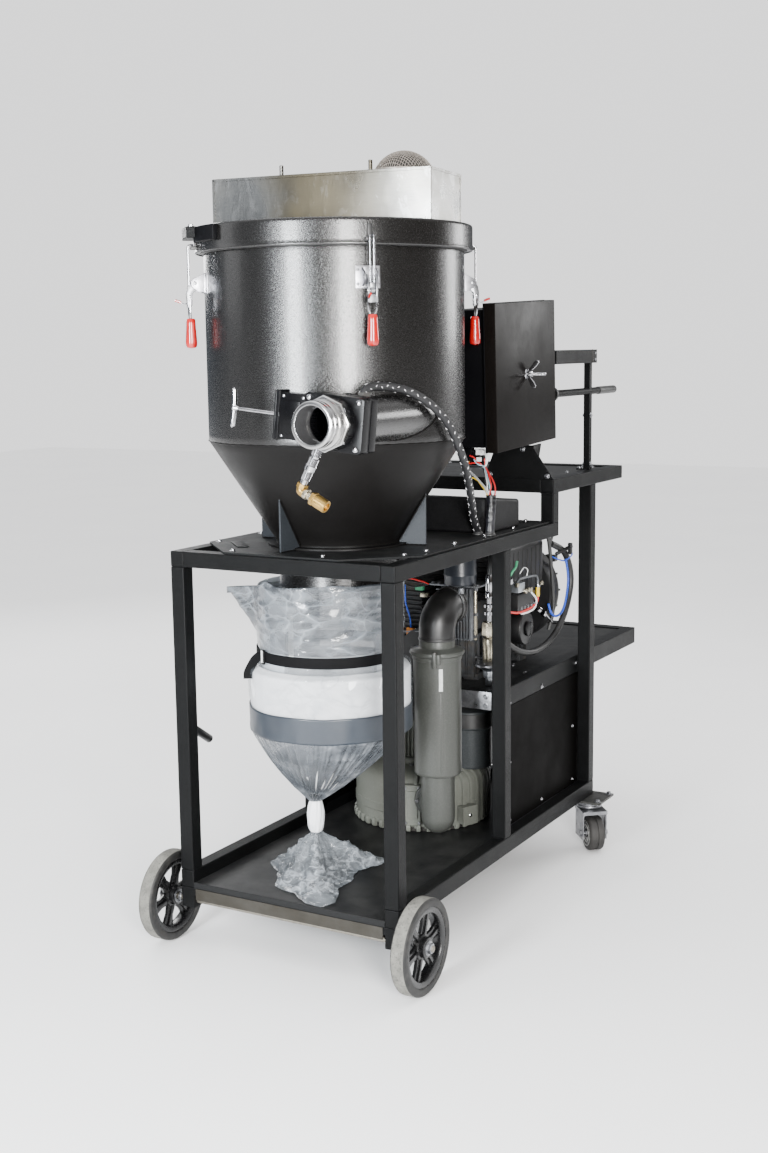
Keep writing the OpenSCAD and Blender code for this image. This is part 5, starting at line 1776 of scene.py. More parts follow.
# ------------------------------------------------------------------ blower and silencers
def build_blower():
    cx, cy = -40.0, 770.0
    ps = []
    body = [(0, 326), (70, 326), (118, 324), (150, 320), (170, 313), (181, 301), (186, 286), (187, 262), (187, 236), (189, 234), (189, 214), (187, 212), (187, 182), (184, 178), (0, 178)]
    ps.append(lathe("body", body, (cx, cy, 0), (0, 0, 1), "blower", None, 120, smooth=28))
    ps.append(lathe("foot", [(0, 164), (176, 164), (180, 165), (182, 168), (182, 178.5), (0, 178.5)], (cx, cy, 0), (0, 0, 1), "dark", None, 96))

    def fin(a, prof, th, mat="blower"):
        vs, f = [], []
        with at(cx, cy, 0, rz=a):
            for s in (-1, 1):
                for r, z in prof:
                    vs.append(W(r, s * th / 2, z))
        n = len(prof)
        f.append(tuple(range(n)))
        f.append(tuple(range(2 * n - 1, n - 1, -1)))
        for i in range(n):
            j = (i + 1) % n
            f.append((i, i + n, j + n, j))
        o = finish_mesh("fin", vs, f, mat, None, 35)
        apply_bevel(o, 0.0012, 2, 50)
        return o

    tall = [(170, 176), (191, 176), (194.6, 182), (194.8, 282), (191.5, 299), (184, 312), (171, 321.5), (150, 328), (118, 331), (116, 322), (160, 316), (180, 296)]
    tooth = [(176, 166), (190, 166.5), (193.6, 172), (193.6, 184), (190.5, 189), (180, 190)]
    for i in range(43):
        a = i * 360 / 43
        d = (a + 180) % 360 - 180
        if -74 < d < 128 or d > 150 or d < -168:
            ps.append(fin(a, tall, 9.4))
        ps.append(fin(a + 2.0, tooth, 11.0))
    # smooth pads and ports
    with at(cx, cy, 0, rz=-24):
        ps.append(boxm("jbox", (184, -24, 182), (214, 24, 232), "blower", None, 0.003, 3))
        ps.append(boxm("jlid", (213, -25.5, 180.5), (217.5, 25.5, 233.5), "blower", None, 0.0022, 3))
        ps.append(lathe("js", [(0, 0), (5.2, 0), (5.2, 1.4), (3.6, 2.8), (0, 3)], (217.4, -2, 208), (1, 0, 0), "chrome", None, 20))
    with at(cx, cy, 0, rz=-66):
        ps.append(boxm("pad", (176, -36, 186), (198, 10, 300), "blower", None, 0.004, 3))
        ps.append(boxm("pad2", (197, -26, 206), (201.5, 2, 284), "blower", None, 0.0022, 3))
        for y in (-31, 6):
            for z in (194, 292):
                ps.append(lathe("pb", [(0, 0), (4.2, 0), (4.2, 3), (3.2, 3.8), (0, 3.8)], (198, y, z), (1, 0, 0), "zinc", None, 16))
    for a in range(0, 360, 45):
        with at(cx, cy, 0, rz=a + 11):
            ps.append(lathe("bs", [(0, 0), (6.5, 0), (6.5, 4.4), (5.5, 5.4), (0, 5.4)], (92, 0, 325.4), (0, 0, 1), "zinc", None, 6, smooth=20))
    # motor with cooling fins and a fan cowl
    ps.append(lathe("motor", [(84, 325), (84, 338), (80, 342), (68, 343), (68, 428), (79, 430), (80.5, 434), (80.5, 448), (76, 454), (60, 457), (0, 457)], (cx, cy, 0), (0, 0, 1), "blower", None, 72, smooth=28))
    for i in range(40):
        a = i * 9
        vs = [(66, 344), (77.6, 345), (77.6, 427), (66, 428)]
        ps.append(fin(a, vs, 2.4))
    # painted shade: the cowl's slots are thin dark plates laid on its top, in place of shaded openings
    for i in range(14):
        a = i * 360 / 14
        with at(cx, cy, 0, rz=a):
            ps.append(boxm("slot", (26, -3, 456.4), (56, 3, 457.6), "dark", None, 0))
    with at(cx, cy, 0, rz=205):
        ps.append(boxm("tb", (66, -34, 352), (108, 34, 420), "blower", None, 0.004, 3))
        ps.append(boxm("tbl", (107, -36, 350), (112, 36, 422), "blower", None, 0.002, 2))
        ps.append(cylm("gl", (90, 0, 340), (90, 0, 353), 9, "plastic", None, 1.5, 20))
    for o in ps:
        o["_b"] = ROOT
    j = join("blower_v", ps)
    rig.replaces(j, "blower")

    # first silencer: lower can, upper can with a rolled collar and a neck
    sx, sy = 153.0, 500.0
    ps = []
    low = [(0.0, 212.4)] + [(44 * math.sin(math.radians(t)), 256 - 43.6 * math.cos(math.radians(t))) for t in range(8, 91, 8)]
    low = [(r if r < 30 else r, z if r < 30 else z) for r, z in low] + [(44, 262), (44, 371), (42, 373)]
    ps.append(lathe("low", low, (sx, sy, 0), (0, 0, 1), "silencer", None, 96))
    up = [(40, 374.2), (56, 374.6), (60, 376.4), (62.4, 381), (62.4, 384), (62.5, 680), (64.2, 681), (64.6, 684), (64.6, 690), (68.5, 692.4), (70.8, 696), (71, 700), (69.6, 703.4), (63, 707), (50, 709.6), (48.4, 711), (46.6, 712), (46.4, 728), (45, 730.6), (42, 731)]
    ps.append(lathe("up", up, (sx, sy, 0), (0, 0, 1), "silencer", None, 128, smooth=28))
    with at(sx, sy, 0, rz=-58 - 10):
        ps.append(cylm("boss", (70.5, 0, 668), (70.5, 0, 706), 6.6, "silencer", None, 1.4, 24))
        ps.append(boxm("bw", (60, -4.5, 668), (70.5, 4.5, 690), "silencer", None, 0.001, 2))
        ps.append(lathe("bs", [(0, 0), (5, 0), (5, 3), (4, 4), (0, 4)], (70.5, 0, 706), (0, 0, 1), "zincdark", None, 20))
    with at(sx, sy, 0, rz=-58 + 4):
        ps.append(boxm("seam", (61.8, -3, 388), (63.4, 3, 600), "silencer", None, 0.0008, 2))
        ps.append(boxm("tag", (61.8, -5, 606), (63.6, 5, 664), "tag", None, 0.0005, 1))
    for k in range(3):
        with at(sx, sy, 0, rz=120 * k + 60):
            ps.append(cylm("boss", (70.5, 0, 676), (70.5, 0, 704), 6.2, "silencer", None, 1.4, 24))
    # port flange against the blower
    with at(sx, sy, 0, rz=125.6):
        ps.append(cylm("port", (30, 0, 264), (146, 0, 264), 37, "silencer", None, 1, 64))
        ps.append(cylm("portf", (118, 0, 264), (130, 0, 264), 47, "silencer", None, 2, 64))
        for k in range(6):
            an = math.radians(60 * k)
            ps.append(lathe("b", [(0, 0), (5.5, 0), (5.5, 4), (4.6, 5), (0, 5)], (118, 41.5 * math.cos(an), 264 + 41.5 * math.sin(an)), (-1, 0, 0), "zinc", None, 6, smooth=20))
    # second silencer
    sp2 = [(58, 322), (59.6, 324), (60, 328), (60, 431), (62, 433.4), (64, 436), (64, 478), (62.6, 482), (58, 484), (0, 484.6)]
    ps.append(lathe("s2", sp2, (110, 780, 0), (0, 0, 1), "silencer2", None, 96, smooth=28))
    ps.append(lathe("s2b", [(64.4, 438), (65.2, 439), (65.2, 476), (64.4, 477)], (110, 780, 0), (0, 0, 1), "rubber", None, 96))
    for o in ps:
        o["_b"] = ROOT
    j = join("silencers_v", ps)
    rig.replaces(j, "silencers")

    # rubber elbow with cuffs and worm clamps
    pts = [(sx, sy, 726), (sx, sy, 736), (sx, sy, 748)]
    for t in range(6, 91, 6):
        a = math.radians(t)
        pts.append((sx, sy + 60 - 60 * math.cos(a), 748 + 60 * math.sin(a)))
    pts += [(sx, sy + 70, 808), (sx, sy + 86, 808)]
    n = len(pts)
    rad = [45.2, 46.8, 46.4] + [46.6 + 0.8 * math.sin(i * 0.4) for i in range(n - 5)] + [46.8, 46.6]
    ps = [tube("el", pts, 47, "elbow", None, 64, True, rad)]
    ps.append(lathe("cuff", [(46, 0), (48.6, 0.6), (49.4, 2), (49.4, 7), (48.6, 8.4), (46, 9)], (sx, sy + 74, 808), (0, 1, 0), "elbow", None, 72))
    ps.append(lathe("cuff", [(46, 0), (48, 0.6), (48.4, 2), (48.4, 5), (47.6, 6.4), (46, 7)], (sx, sy, 730.5), (0, 0, 1), "elbow", None, 72))
    ps.append(lathe("clamp", [(47, 0), (48.6, 0.4), (48.6, 8.6), (47, 9)], (sx, sy + 60, 808), (0, 1, 0), "elbow", None, 72))
    ps.append(boxm("scr", (sx + 30, sy + 60, 842), (sx + 44, sy + 69, 856), "zinc", None, 0.0015, 2))
    for o in ps:
        o["_b"] = ROOT
    j = join("rubber_elbow_v", ps)
    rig.replaces(j, "rubber_elbow")


# ------------------------------------------------------------------ engine zone
def build_engine():
    ps = []
    B = lambda n, lo, hi, m="cast", bev=0.002: ps.append(boxm(n, lo, hi, m, None, bev, 2))
    # crankcase, with feet and ribs
    B("case", (-126, 726, 580), (146, 1076, 700), "cast", 0.006)
    B("case2", (-104, 760, 700), (128, 1076, 782), "cast", 0.006)
    for x in (-110, 130):
        for y in (760, 1040):
            B("foot", (x - 22, y - 22, 572.6), (x + 22, y + 22, 590), "cast", 0.002)
            ps.append(lathe("fb", [(0, 0), (8.5, 0), (8.5, 7), (7.4, 8.4), (0, 8.4)], (x, y, 590), (0, 0, 1), "zinc", None, 6, smooth=20))
    for i in range(11):
        x = -112 + i * 24
        B("rib", (x - 2.2, 719, 590), (x + 2.2, 730, 686), "cast", 0.001)
    for i in range(12):
        y = 742 + i * 29
        for sx in (-1, 1):
            x = -128 if sx < 0 else 148
            B("rib", (x - 4, y - 2.2, 592), (x + 4, y + 2.2, 690), "cast", 0.001)
    # two cylinders with cooling fins towards the front and back
    for x0 in (-38, 84):
        for i in range(11):
            z = 696 + i * 12.6
            # painted shade: the far cylinder's fins (x0 = -38) get the black catch finish where the near cylinder's
            # fins are silver
            B("hf", (x0 - 40, 704, z), (x0 + 44, 792, z + 3.2), "finsilver" if x0 > 0 else "catch", 0.001)
        B("hb", (x0 - 30, 712, 690), (x0 + 34, 790, 838), "cast", 0.003)
    # the near head seen with upright fins
    for i in range(8):
        x = 89 + i * 9
        B("vf", (x - 1.6, 694, 690), (x + 1.6, 712, 832), "finsilver", 0.0009)
    B("topplate", (34, 684, 837), (180, 790, 842), "finsilver", 0.0012)
    for x in (42, 60, 168, 176):
        ps.append(lathe("tb", [(0, 0), (5, 0), (5, 4), (4.2, 5), (0, 5)], (x, 692, 842), (0, 0, 1), "zinc", None, 6, smooth=20))
    ps.append(cylm("vt", (167, 697, 694), (167, 697, 836), 4.2, "brasspale", None, 1, 16))
    for z in (700, 760, 828):
        ps.append(lathe("vn", [(4, 0), (7.4, 0), (7.4, 8), (4, 8)], (167, 697, z), (0, 0, 1), "zinc", None, 6, smooth=20))
    # canister
    can = [(0, 843), (41, 843), (43.6, 845), (44, 848), (44, 866), (45, 868), (45, 872), (44, 874), (44, 938), (42, 946), (34, 951), (0, 953)]
    ps.append(lathe("can", can, (120, 700, 0), (0, 0, 1), "canister", None, 72, smooth=28))
    # bell shaped black pulley guard low in front
    ps.append(lathe("pulley", [(0, 0), (14, 0), (14, 6), (40, 8), (70, 14), (74, 18), (74, 30), (0, 30)], (10, 722, 640), (0, -1, 0), "catch", None, 64))
    # muffler on the far side with a heat shield
    ps.append(lathe("muf", [(0, 0), (46, 2), (52, 8), (54, 16), (54, 214), (52, 222), (46, 228), (0, 230)], (-176, 800, 742), (0, 1, 0), "muffler", None, 64))
    for y in (826, 1000):
        ps.append(lathe("mb", [(54, 0), (56, 0.6), (56, 15), (54, 16)], (-176, y, 742), (0, 1, 0), "zincdark", None, 64))
    ps.append(tube("mp", smooth_path([(-176, 1024, 742), (-176, 1050, 742), (-178, 1070, 752), (-182, 1076, 775), (-184, 1078, 800)], 6), 15, "muffler", None, 24))
    ps.append(tube("mi", smooth_path([(-176, 800, 742), (-174, 776, 742), (-160, 762, 746), (-130, 758, 752), (-80, 758, 756)], 6), 14, "muffler", None, 24))
    for y in (840, 980):
        B("ms", (-180, y, 580), (-172, y + 24, 694), "catch", 0.0012)
    # oil filter and dipstick
    ps.append(lathe("oil", [(0, 0), (30, 0), (36, 3), (38, 10), (38, 72), (34, 80), (0, 82)], (-128, 900, 640), (-1, 0, 0), "canister", None, 48))
    ps.append(cylm("dip", (-100, 722, 640), (-118, 700, 800), 5, "finsilver", None, 1, 14))
    ps.append(tube("dipt", smooth_path([(-118, 700, 800), (-120, 698, 816), (-112, 697, 824), (-104, 698, 816), (-106, 699, 804)], 5), 2.6, "wire_yellow", None, 8))
    # gas/fuel block, starter and regulator on the near side
    ps.append(cylm("starter", (176, 930, 690), (214, 930, 690), 47, "catch", None, 5, 56))
    ps.append(cylm("startc", (214, 930, 690), (222, 930, 690), 22, "plastic", None, 3, 40))
    ps.append(cylm("startr", (150, 930, 690), (178, 930, 690), 36, "cast", None, 3, 40))
    B("ctrl", (176, 872, 742), (212, 990, 792), "catch", 0.003)
    for i in range(5):
        B("term", (211, 886 + i * 22, 748), (216, 897 + i * 22, 757), "zinc", 0.0008)
    B("greysq", (196, 862, 800), (218, 905, 826), "relief", 0.0015)
    B("greyblk", (186, 770, 790), (216, 818, 850), "cast", 0.003)
    ps.append(tube("utube", smooth_path([(212, 852, 824), (214, 860, 829), (215, 872, 837), (215, 900, 837.5), (215, 970, 834), (215, 990, 830), (215, 999, 820), (215, 1000, 806), (213, 1000, 790)], 4), 3.4, "finsilver", None, 12))
    for p in ((215, 852, 824), (217, 1012, 808), (216, 905, 800), (216, 940, 800), (216, 925, 801)):
        ps.append(lathe("knob", [(0, 0), (5.6, 0), (6.6, 1), (6.6, 7), (5.4, 8.4), (0, 9)], p, (1, 0, 0), "brasspale", None, 20))
    ps.append(lathe("joint", [(0, 0), (9, 0), (10, 1), (10, 14), (9, 15), (0, 15)], (208, 822, 846), (0, 0.4, -1), "chrome", None, 20))
    ps.append(tube("green", smooth_path([(210, 820, 852), (214, 834, 866), (214, 852, 874), (212, 866, 888)], 5), 3.4, "wire_green", None, 10))
    ps.append(cylm("yel", (214, 1002, 798), (214, 1002, 770), 6, "wire_yellow", None, 1.2, 16))
    ps.append(cylm("yelc", (214, 1002, 806), (214, 1002, 797), 7.5, "chrome", None, 1.2, 16))
    ps.append(tube("red", smooth_path([(214, 1002, 771), (214, 998, 758), (214, 967, 747), (213, 913, 742), (211, 866, 744), (206, 819, 754)], 5), 3.6, "wire_red", None, 10))
    ps.append(tube("wh", smooth_path([(212, 960, 789), (216, 988, 764), (216, 974, 741), (213, 933, 735), (210, 900, 736)], 5), 2.8, "white", None, 8))
    ps.append(tube("bl", smooth_path([(228, 1172, 856), (231, 1184, 798), (232, 1165, 738), (231, 1137, 705), (229, 1100, 698), (226, 1071, 712), (222, 1060, 740)], 6), 3.4, "wire_blue", None, 10))
    ps.append(tube("thin", smooth_path([(214, 880, 852), (215, 905, 866), (215, 930, 856), (214, 925, 838)], 5), 1.3, "white", None, 6))
    ps.append(tube("hose", smooth_path([(200, 1130, 905), (218, 1190, 870), (226, 1216, 790), (226, 1175, 702), (226, 1086, 640), (222, 979, 618), (214, 882, 632), (196, 815, 671)], 8), 9.5, "rubber", None, 16))
    ps.append(tube("vtube", smooth_path([(222, 1052, 940), (224, 1062, 905), (224, 1082, 810), (222, 1096, 720), (214, 1080, 660)], 6), 5.4, "rubber", None, 12))
    for p, d in (((222, 984, 738), (0.3, 0.4, -0.4)), ((226, 1012, 722), (0.2, 0.6, -0.5))):
        ps.append(lathe("cl", [(0, 0), (8, 0), (9.5, 1.5), (9.5, 9), (8, 10.5), (0, 11)], p, d, "chrome", None, 20))
    ps.append(cylm("pin", (230, 1024, 716), (230, 1068, 686), 2.6, "chrome", None, 0.8, 12))
    ps.append(lathe("brassv", [(0, 0), (8, 0), (9, 1), (9, 12), (12, 14), (12, 24), (9, 26), (8, 34), (0, 34)], (214, 738, 760), (0, 0, 1), "brass", None, 28))
    # lever and a stub of blue wire at the back
    ps.append(cylm("lev", (206, 1150, 872), (238, 1196, 893), 5.5, "catch", None, 1.5, 16))
    ps.append(boxm("levb", (228, 1186, 868), (240, 1196, 902), "catch", None, 0.002, 2))
    ps.append(tube("bl2", smooth_path([(196, 1140, 866), (220, 1176, 850), (236, 1192, 862), (240, 1194, 872)], 5), 2.0, "wire_blue", None, 8))
    # small plugs seen past the elbow
    ps.append(boxm("orange", (-44, 694, 684), (-22, 706, 711), "orange", None, 0.0015, 2))
    ps.append(boxm("oc", (-40, 694, 652), (-27, 706, 684), "relief", None, 0.0012, 2))
    ps.append(tube("ow", smooth_path([(-33, 700, 711), (-36, 700, 740), (-50, 702, 780), (-52, 704, 830)], 5), 2.2, "wire_blue", None, 8))
    ps.append(boxm("yg", (-16, 694, 818), (8, 706, 830), "wire_green", None, 0.002, 2))
    ps.append(boxm("bei", (0, 694, 800), (24, 706, 812), "brasspale", None, 0.002, 2))
    for k, (m, dz) in enumerate((("wire_black", 0), ("wire_black", 14), ("wire_red", 22))):
        ps.append(tube("fw", smooth_path([(-60, 706, 836 + dz / 3), (-30, 698, 826 + dz), (10, 692, 832 + dz / 2), (30, 690, 838)], 5), 2.2, m, None, 8))
    # fuel rail pipe across the front
    ps.append(tube("rail", smooth_path([(-96, 708, 716), (-60, 700, 700), (0, 696, 704), (60, 700, 700), (84, 708, 690)], 5), 4.5, "finsilver", None, 12))
    for o in ps:
        o["_b"] = ROOT
    j = join("engine_block_v", ps)
    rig.replaces(j, "engine_block")

    # shroud: ribbed black cover with louvres
    ps = []
    ps.append(boxm("sh", (-140, 800, 782), (190, 1100, 926), "shroud", None, 0.016, 5))
    for i in range(9):
        y = 830 + i * 30
        ps.append(boxm("rb", (188.6, y, 800), (191.4, y + 9, 908), "shroud", None, 0.0012, 2))
        ps.append(boxm("rb", (-141.4, y, 800), (-138.6, y + 9, 908), "shroud", None, 0.0012, 2))
        ps.append(boxm("tp", (-110, y + 2, 925), (160, y + 8, 928.4), "shroud", None, 0.0012, 2))
    for i in range(8):
        z = 800 + i * 14
        ps.append(boxm("lv", (-110, 797.6, z), (160, 801, z + 6), "shroud", None, 0.001, 2, Matrix.Rotation(math.radians(18), 3, "X")))
    ps.append(cylm("cap", (-70, 880, 925), (-70, 880, 944), 30, "catch", None, 4, 40))
    ps.append(boxm("capr", (-94, 876, 943), (-46, 884, 949), "catch", None, 0.002, 2))
    for x in (-120, 170):
        for y in (822, 1078):
            ps.append(lathe("sb", [(0, 0), (6, 0), (6, 4), (5, 5), (0, 5)], (x, y, 925.6), (0, 0, 1), "zinc", None, 6, smooth=20))
    for o in ps:
        o["_b"] = ROOT
    j = join("engine_shroud_v", ps)
    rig.replaces(j, "engine_shroud")

    # flywheel housing at the rear with a pull starter
    ps = []
    prof = [(0, 0), (148, 0), (150, 3), (150, 60), (146, 72), (136, 82), (112, 92), (108, 98), (106, 112), (100, 117), (0, 118)]
    ps.append(lathe("h", prof, (60, 1102, 760), (0, 1, 0), "shroud", None, 96, smooth=28))
    for i in range(18):
        a = math.radians(20 * i)
        s, c = math.sin(a), math.cos(a)
        R = Matrix.Rotation(-a, 3, "Y")
        ps.append(boxm("sl", (60 + 116, 1178, 757), (60 + 142, 1196, 763), "shroud", None, 0.001, 2, R, (60, 1187, 760)))
    # painted shade: the starter face's slits are thin dark plates set flush in it, in place of shaded openings
    for i in range(12):
        a = math.radians(30 * i)
        R = Matrix.Rotation(-a, 3, "Y")
        ps.append(boxm("sl", (60 + 42, 1218.6, 755), (60 + 88, 1220.6, 765), "dark", None, 0.0005, 1, R, (60, 1219, 760)))
    ps.append(cylm("hub", (60, 1217, 760), (60, 1226, 760), 28, "catch", None, 3, 40))
    ps.append(boxm("pullb", (150, 1190, 842), (186, 1214, 862), "catch", None, 0.004, 3))
    ps.append(tube("rope", smooth_path([(150, 1204, 852), (132, 1206, 836), (118, 1208, 818)], 5), 2.4, "white", None, 8))
    for k in range(4):
        a = math.radians(45 + 90 * k)
        ps.append(lathe("hb", [(0, 0), (7, 0), (7, 5), (6, 6), (0, 6)], (60 + 128 * math.cos(a), 1186, 760 + 128 * math.sin(a)), (0, 1, 0), "zinc", None, 6, smooth=20))
    for o in ps:
        o["_b"] = ROOT
    j = join("engine_housing_v", ps)
    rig.replaces(j, "engine_housing")

    # intake cover: a pressed box in crinkle paint, copied from the CAD part with softened edges
    ic = from_cad("intake_cover", "wrinkle", 0.007, 4, angle=50)

    # regulator: brass and bright fittings in a stack
    rx, ry = 211.0, 690.0
    ps = []
    st = [(0, 573), (11, 573), (12, 575), (12, 590), (14, 592), (14, 604), (10, 606), (9, 622), (16, 626), (38, 629), (40, 631), (40, 634), (38, 636)]
    ps.append(lathe("dia", [(0, 627), (36, 627), (39, 629), (40, 631), (40, 634), (39, 636), (36, 638), (20, 642), (0, 644)], (rx, ry, 0), (0, 0, 1), "zinc", None, 56))
    for k in range(8):
        a = math.radians(45 * k)
        ps.append(lathe("db", [(0, 0), (4, 0), (4, 4), (3.4, 5), (0, 5)], (rx + 33 * math.cos(a), ry + 33 * math.sin(a), 637), (0, 0, 1), "zinc", None, 6, smooth=20))
    ps.append(lathe("body", [(0, 576), (10, 576), (11, 578), (11, 596), (16, 598), (17, 604), (17, 616), (24, 622), (30, 627), (0, 627)], (rx, ry, 0), (0, 0, 1), "relief", None, 40, smooth=28))
    ps.append(lathe("can", [(0, 640), (16, 641), (17.4, 643), (17.4, 700), (16, 704), (14, 706), (0, 706)], (rx, ry, 0), (0, 0, 1), "brasspale", None, 40, smooth=28))
    ps.append(lathe("nut", [(0, 706), (9, 706), (9, 712), (19.6, 713), (20.4, 716), (20.4, 744), (18.6, 748), (0, 748)], (rx, ry, 0), (0, 0, 1), "brasspale", None, 8, smooth=20))
    ps.append(lathe("ob", [(0, 704), (8, 704), (8, 713), (0, 713)], (rx, ry, 0), (0, 0, 1), "orange", None, 20))
    ps.append(lathe("st", [(0, 748), (6, 748), (6, 766), (14, 768), (14, 776), (6, 778), (6, 786), (15, 788), (15, 796), (6, 798), (6, 812), (11, 814), (11, 828), (9, 831), (10.4, 834), (10.4, 872), (8, 876), (0, 877)], (rx, ry, 0), (0, 0, 1), "chrome", None, 32, smooth=28))
    ps.append(tube("gh", smooth_path([(rx, ry, 872), (rx + 2, ry + 4, 900), (rx - 6, ry + 24, 926), (rx - 30, ry + 60, 940), (rx - 60, ry + 110, 930)], 6), 7, "rubber", None, 14))
    ps.append(tube("gh2", smooth_path([(rx + 12, ry, 770), (rx + 24, ry + 14, 772), (rx + 22, ry + 50, 768), (rx + 4, ry + 80, 760)], 6), 5, "rubber", None, 12))
    ps.append(boxm("lev", (rx - 40, ry - 4, 648), (rx - 8, ry + 4, 652), "chrome", None, 0.0012, 2))
    for o in ps:
        o["_b"] = ROOT
    j = join("regulator_v", ps)
    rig.replaces(j, "regulator")
    # bare plate bolted on the front face of the engine shelf's front rail
    an = [boxm("ang", (60, 609.4, 528), (255, 611.9, 576), "zinc", None, 0.0008, 2)]
    for x, z in ((240, 564), (240, 540), (76, 552)):
        an += bolt((x, 609.4, z), (0, -1, 0), 5, 4, "zinc", ROOT, True, "hex")
    for o in an:
        o["_b"] = ROOT
    join("engine_angle", an)
    # control cable dropping from the deck and a stub handle at the left
    cb = [tube("cab", smooth_path([(205, 1118, 1112), (202, 1128, 1070), (206, 1136, 1010), (212, 1120, 950), (205, 1104, 900)], 6), 4, "rubber", None, 10),
          cylm("stub", (-300, 34, 558), (-311, 134, 497), 10.5, "catch", None, 1.5, 24)]
    cb[1]["_b"] = ROOT
    for o in cb:
        o["_b"] = ROOT
    join("cable", cb)


# ------------------------------------------------------------------ filter box
def build_filter():
    with at(274, 755, 1402, rx=2.5):
        ps = [boxm("body", (-186, -172, -176), (-15, 172, 172), "boxblack", None, 0.003, 3)]
        for y in (-172.6, 172.6):
            ps.append(boxm("seam", (-100, min(y, y - 0.0) - 1.2, -170), (-98, y + 1.2, 166), "boxblack", None, 0.0004, 1))
        for z in (-120, 0, 120):
            ps.append(cylm("hg", (-16, 172, z - 18), (-16, 172, z + 18), 5, "boxblack", None, 1.2, 16))
        for o in ps:
            o["_b"] = ROOT
        jb = join("filter_box_v", ps)
        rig.replaces(jb, "filter_box")
        cv = [boxm("cv", (-16, -188, -187), (16, 188, 187), "panelbox", None, 0.0028, 3)]
        cv.append(boxm("lip", (-17.5, -189, -188), (-13.5, 189, 188), "boxblack", None, 0.0012, 2))
        # threaded stud, washer and wing nut
        th = []
        for i in range(17):
            x = 24 + i * 2.6
            th += [(3.5, x), (4.1, x + 1.3)]
        cv.append(lathe("stud", [(4, 10)] + th + [(3.4, 69.4), (0, 70)], (0, 0, 0), (1, 0, 0), "chrome", None, 24, smooth=25))
        cv.append(lathe("ws", [(4.2, 16), (13.4, 16), (14, 16.8), (13.4, 18.4), (4.2, 18.4)], (0, 0, 0), (1, 0, 0), "chrome", None, 36))
        cv.append(lathe("wn", [(4.1, 18.4), (9.6, 18.6), (10, 20), (8, 28), (7.2, 31), (4.1, 31.4)], (0, 0, 0), (1, 0, 0), "chrome", None, 32))
        for s in (-1, 1):
            vs, f = [], []
            prof = [(19, 6), (24, 6), (30, 10), (40, 20), (46, 29), (45, 34), (38, 36), (32, 30), (26, 20), (20, 12)]
            m = len(prof)
            for t_ in (-2, 2):
                for x, z in prof:
                    vs.append(W(x, t_ + 0.35 * s * z, s * z))
            f.append(tuple(range(m)))
            f.append(tuple(range(2 * m - 1, m - 1, -1)))
            for i in range(m):
                k = (i + 1) % m
                f.append((i, i + m, k + m, k))
            o = finish_mesh("wing", vs, f, "chrome", None, 35)
            apply_bevel(o, 0.0012, 3, 40)
            cv.append(o)
        for o in cv:
            o["_b"] = ROOT
        jc = join("filter_cover_v", cv)
        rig.replaces(jc, "filter_cover")
    from_cad("box_bracket", "frame", 0.0008, 2)
    bb = []
    for x, z in ((219, 1196), (165, 1196), (292, 1124), (121, 1124)):
        bb += bolt((x, 886, z), (0, -1, 0), 5, 4, "zinc", ROOT, True, "dome")
    join("bracket_bolts", bb)
    from_cad("tank_bracket", "frame", 0.0016, 2)
    tb = []
    tb.append(lathe("grip", [(0, 0), (10.4, 0), (11.4, 1.4), (11.4, 128), (10.6, 130), (0, 130)], (273, 1296, 1343), (0, 1, 0), "rubber", None, 36))
    tb.append(lathe("fl", [(10, 0), (20.6, 0), (21, 1), (21, 8), (19, 9.4), (10, 10)], (273, 951, 1343), (0, 1, 0), "rubber", None, 40))
    tb.append(cylm("fk", (273, 938, 1343), (273, 951, 1343), 14, "catch", None, 3, 32))
    for z in (1132, 1274):
        tb += bolt((264.2, 1222, z), (-1, 0, 0), 5, 4, "zinc", ROOT, True, "hex")
        tb += bolt((281.8, 1222, z), (1, 0, 0), 5, 4, "zinc", ROOT, True, "dome")
    for y in (1211, 1235):
        tb += bolt((253, y, 1120), (0, 0, 1), 4.5, 4, "zinc", ROOT, True, "dome")
    for z in (1434, 1452):
        tb += bolt((290, 1236, z), (1, 0, 0), 4, 3, "zinc", ROOT, False, "dome")
    # weld spatter line on the arm end
    tb.append(tube("wl", [(289.6, 1214 + 0.8 * math.sin(i * 2.2), 1424 + i * 2.0) for i in range(20)], 1.8, "zincdark", None, 6, True, [1.5 + 0.7 * abs(math.sin(i * 1.7)) for i in range(20)]))
    for o in tb:
        o["_b"] = ROOT
    join("tank_bracket_x", tb)


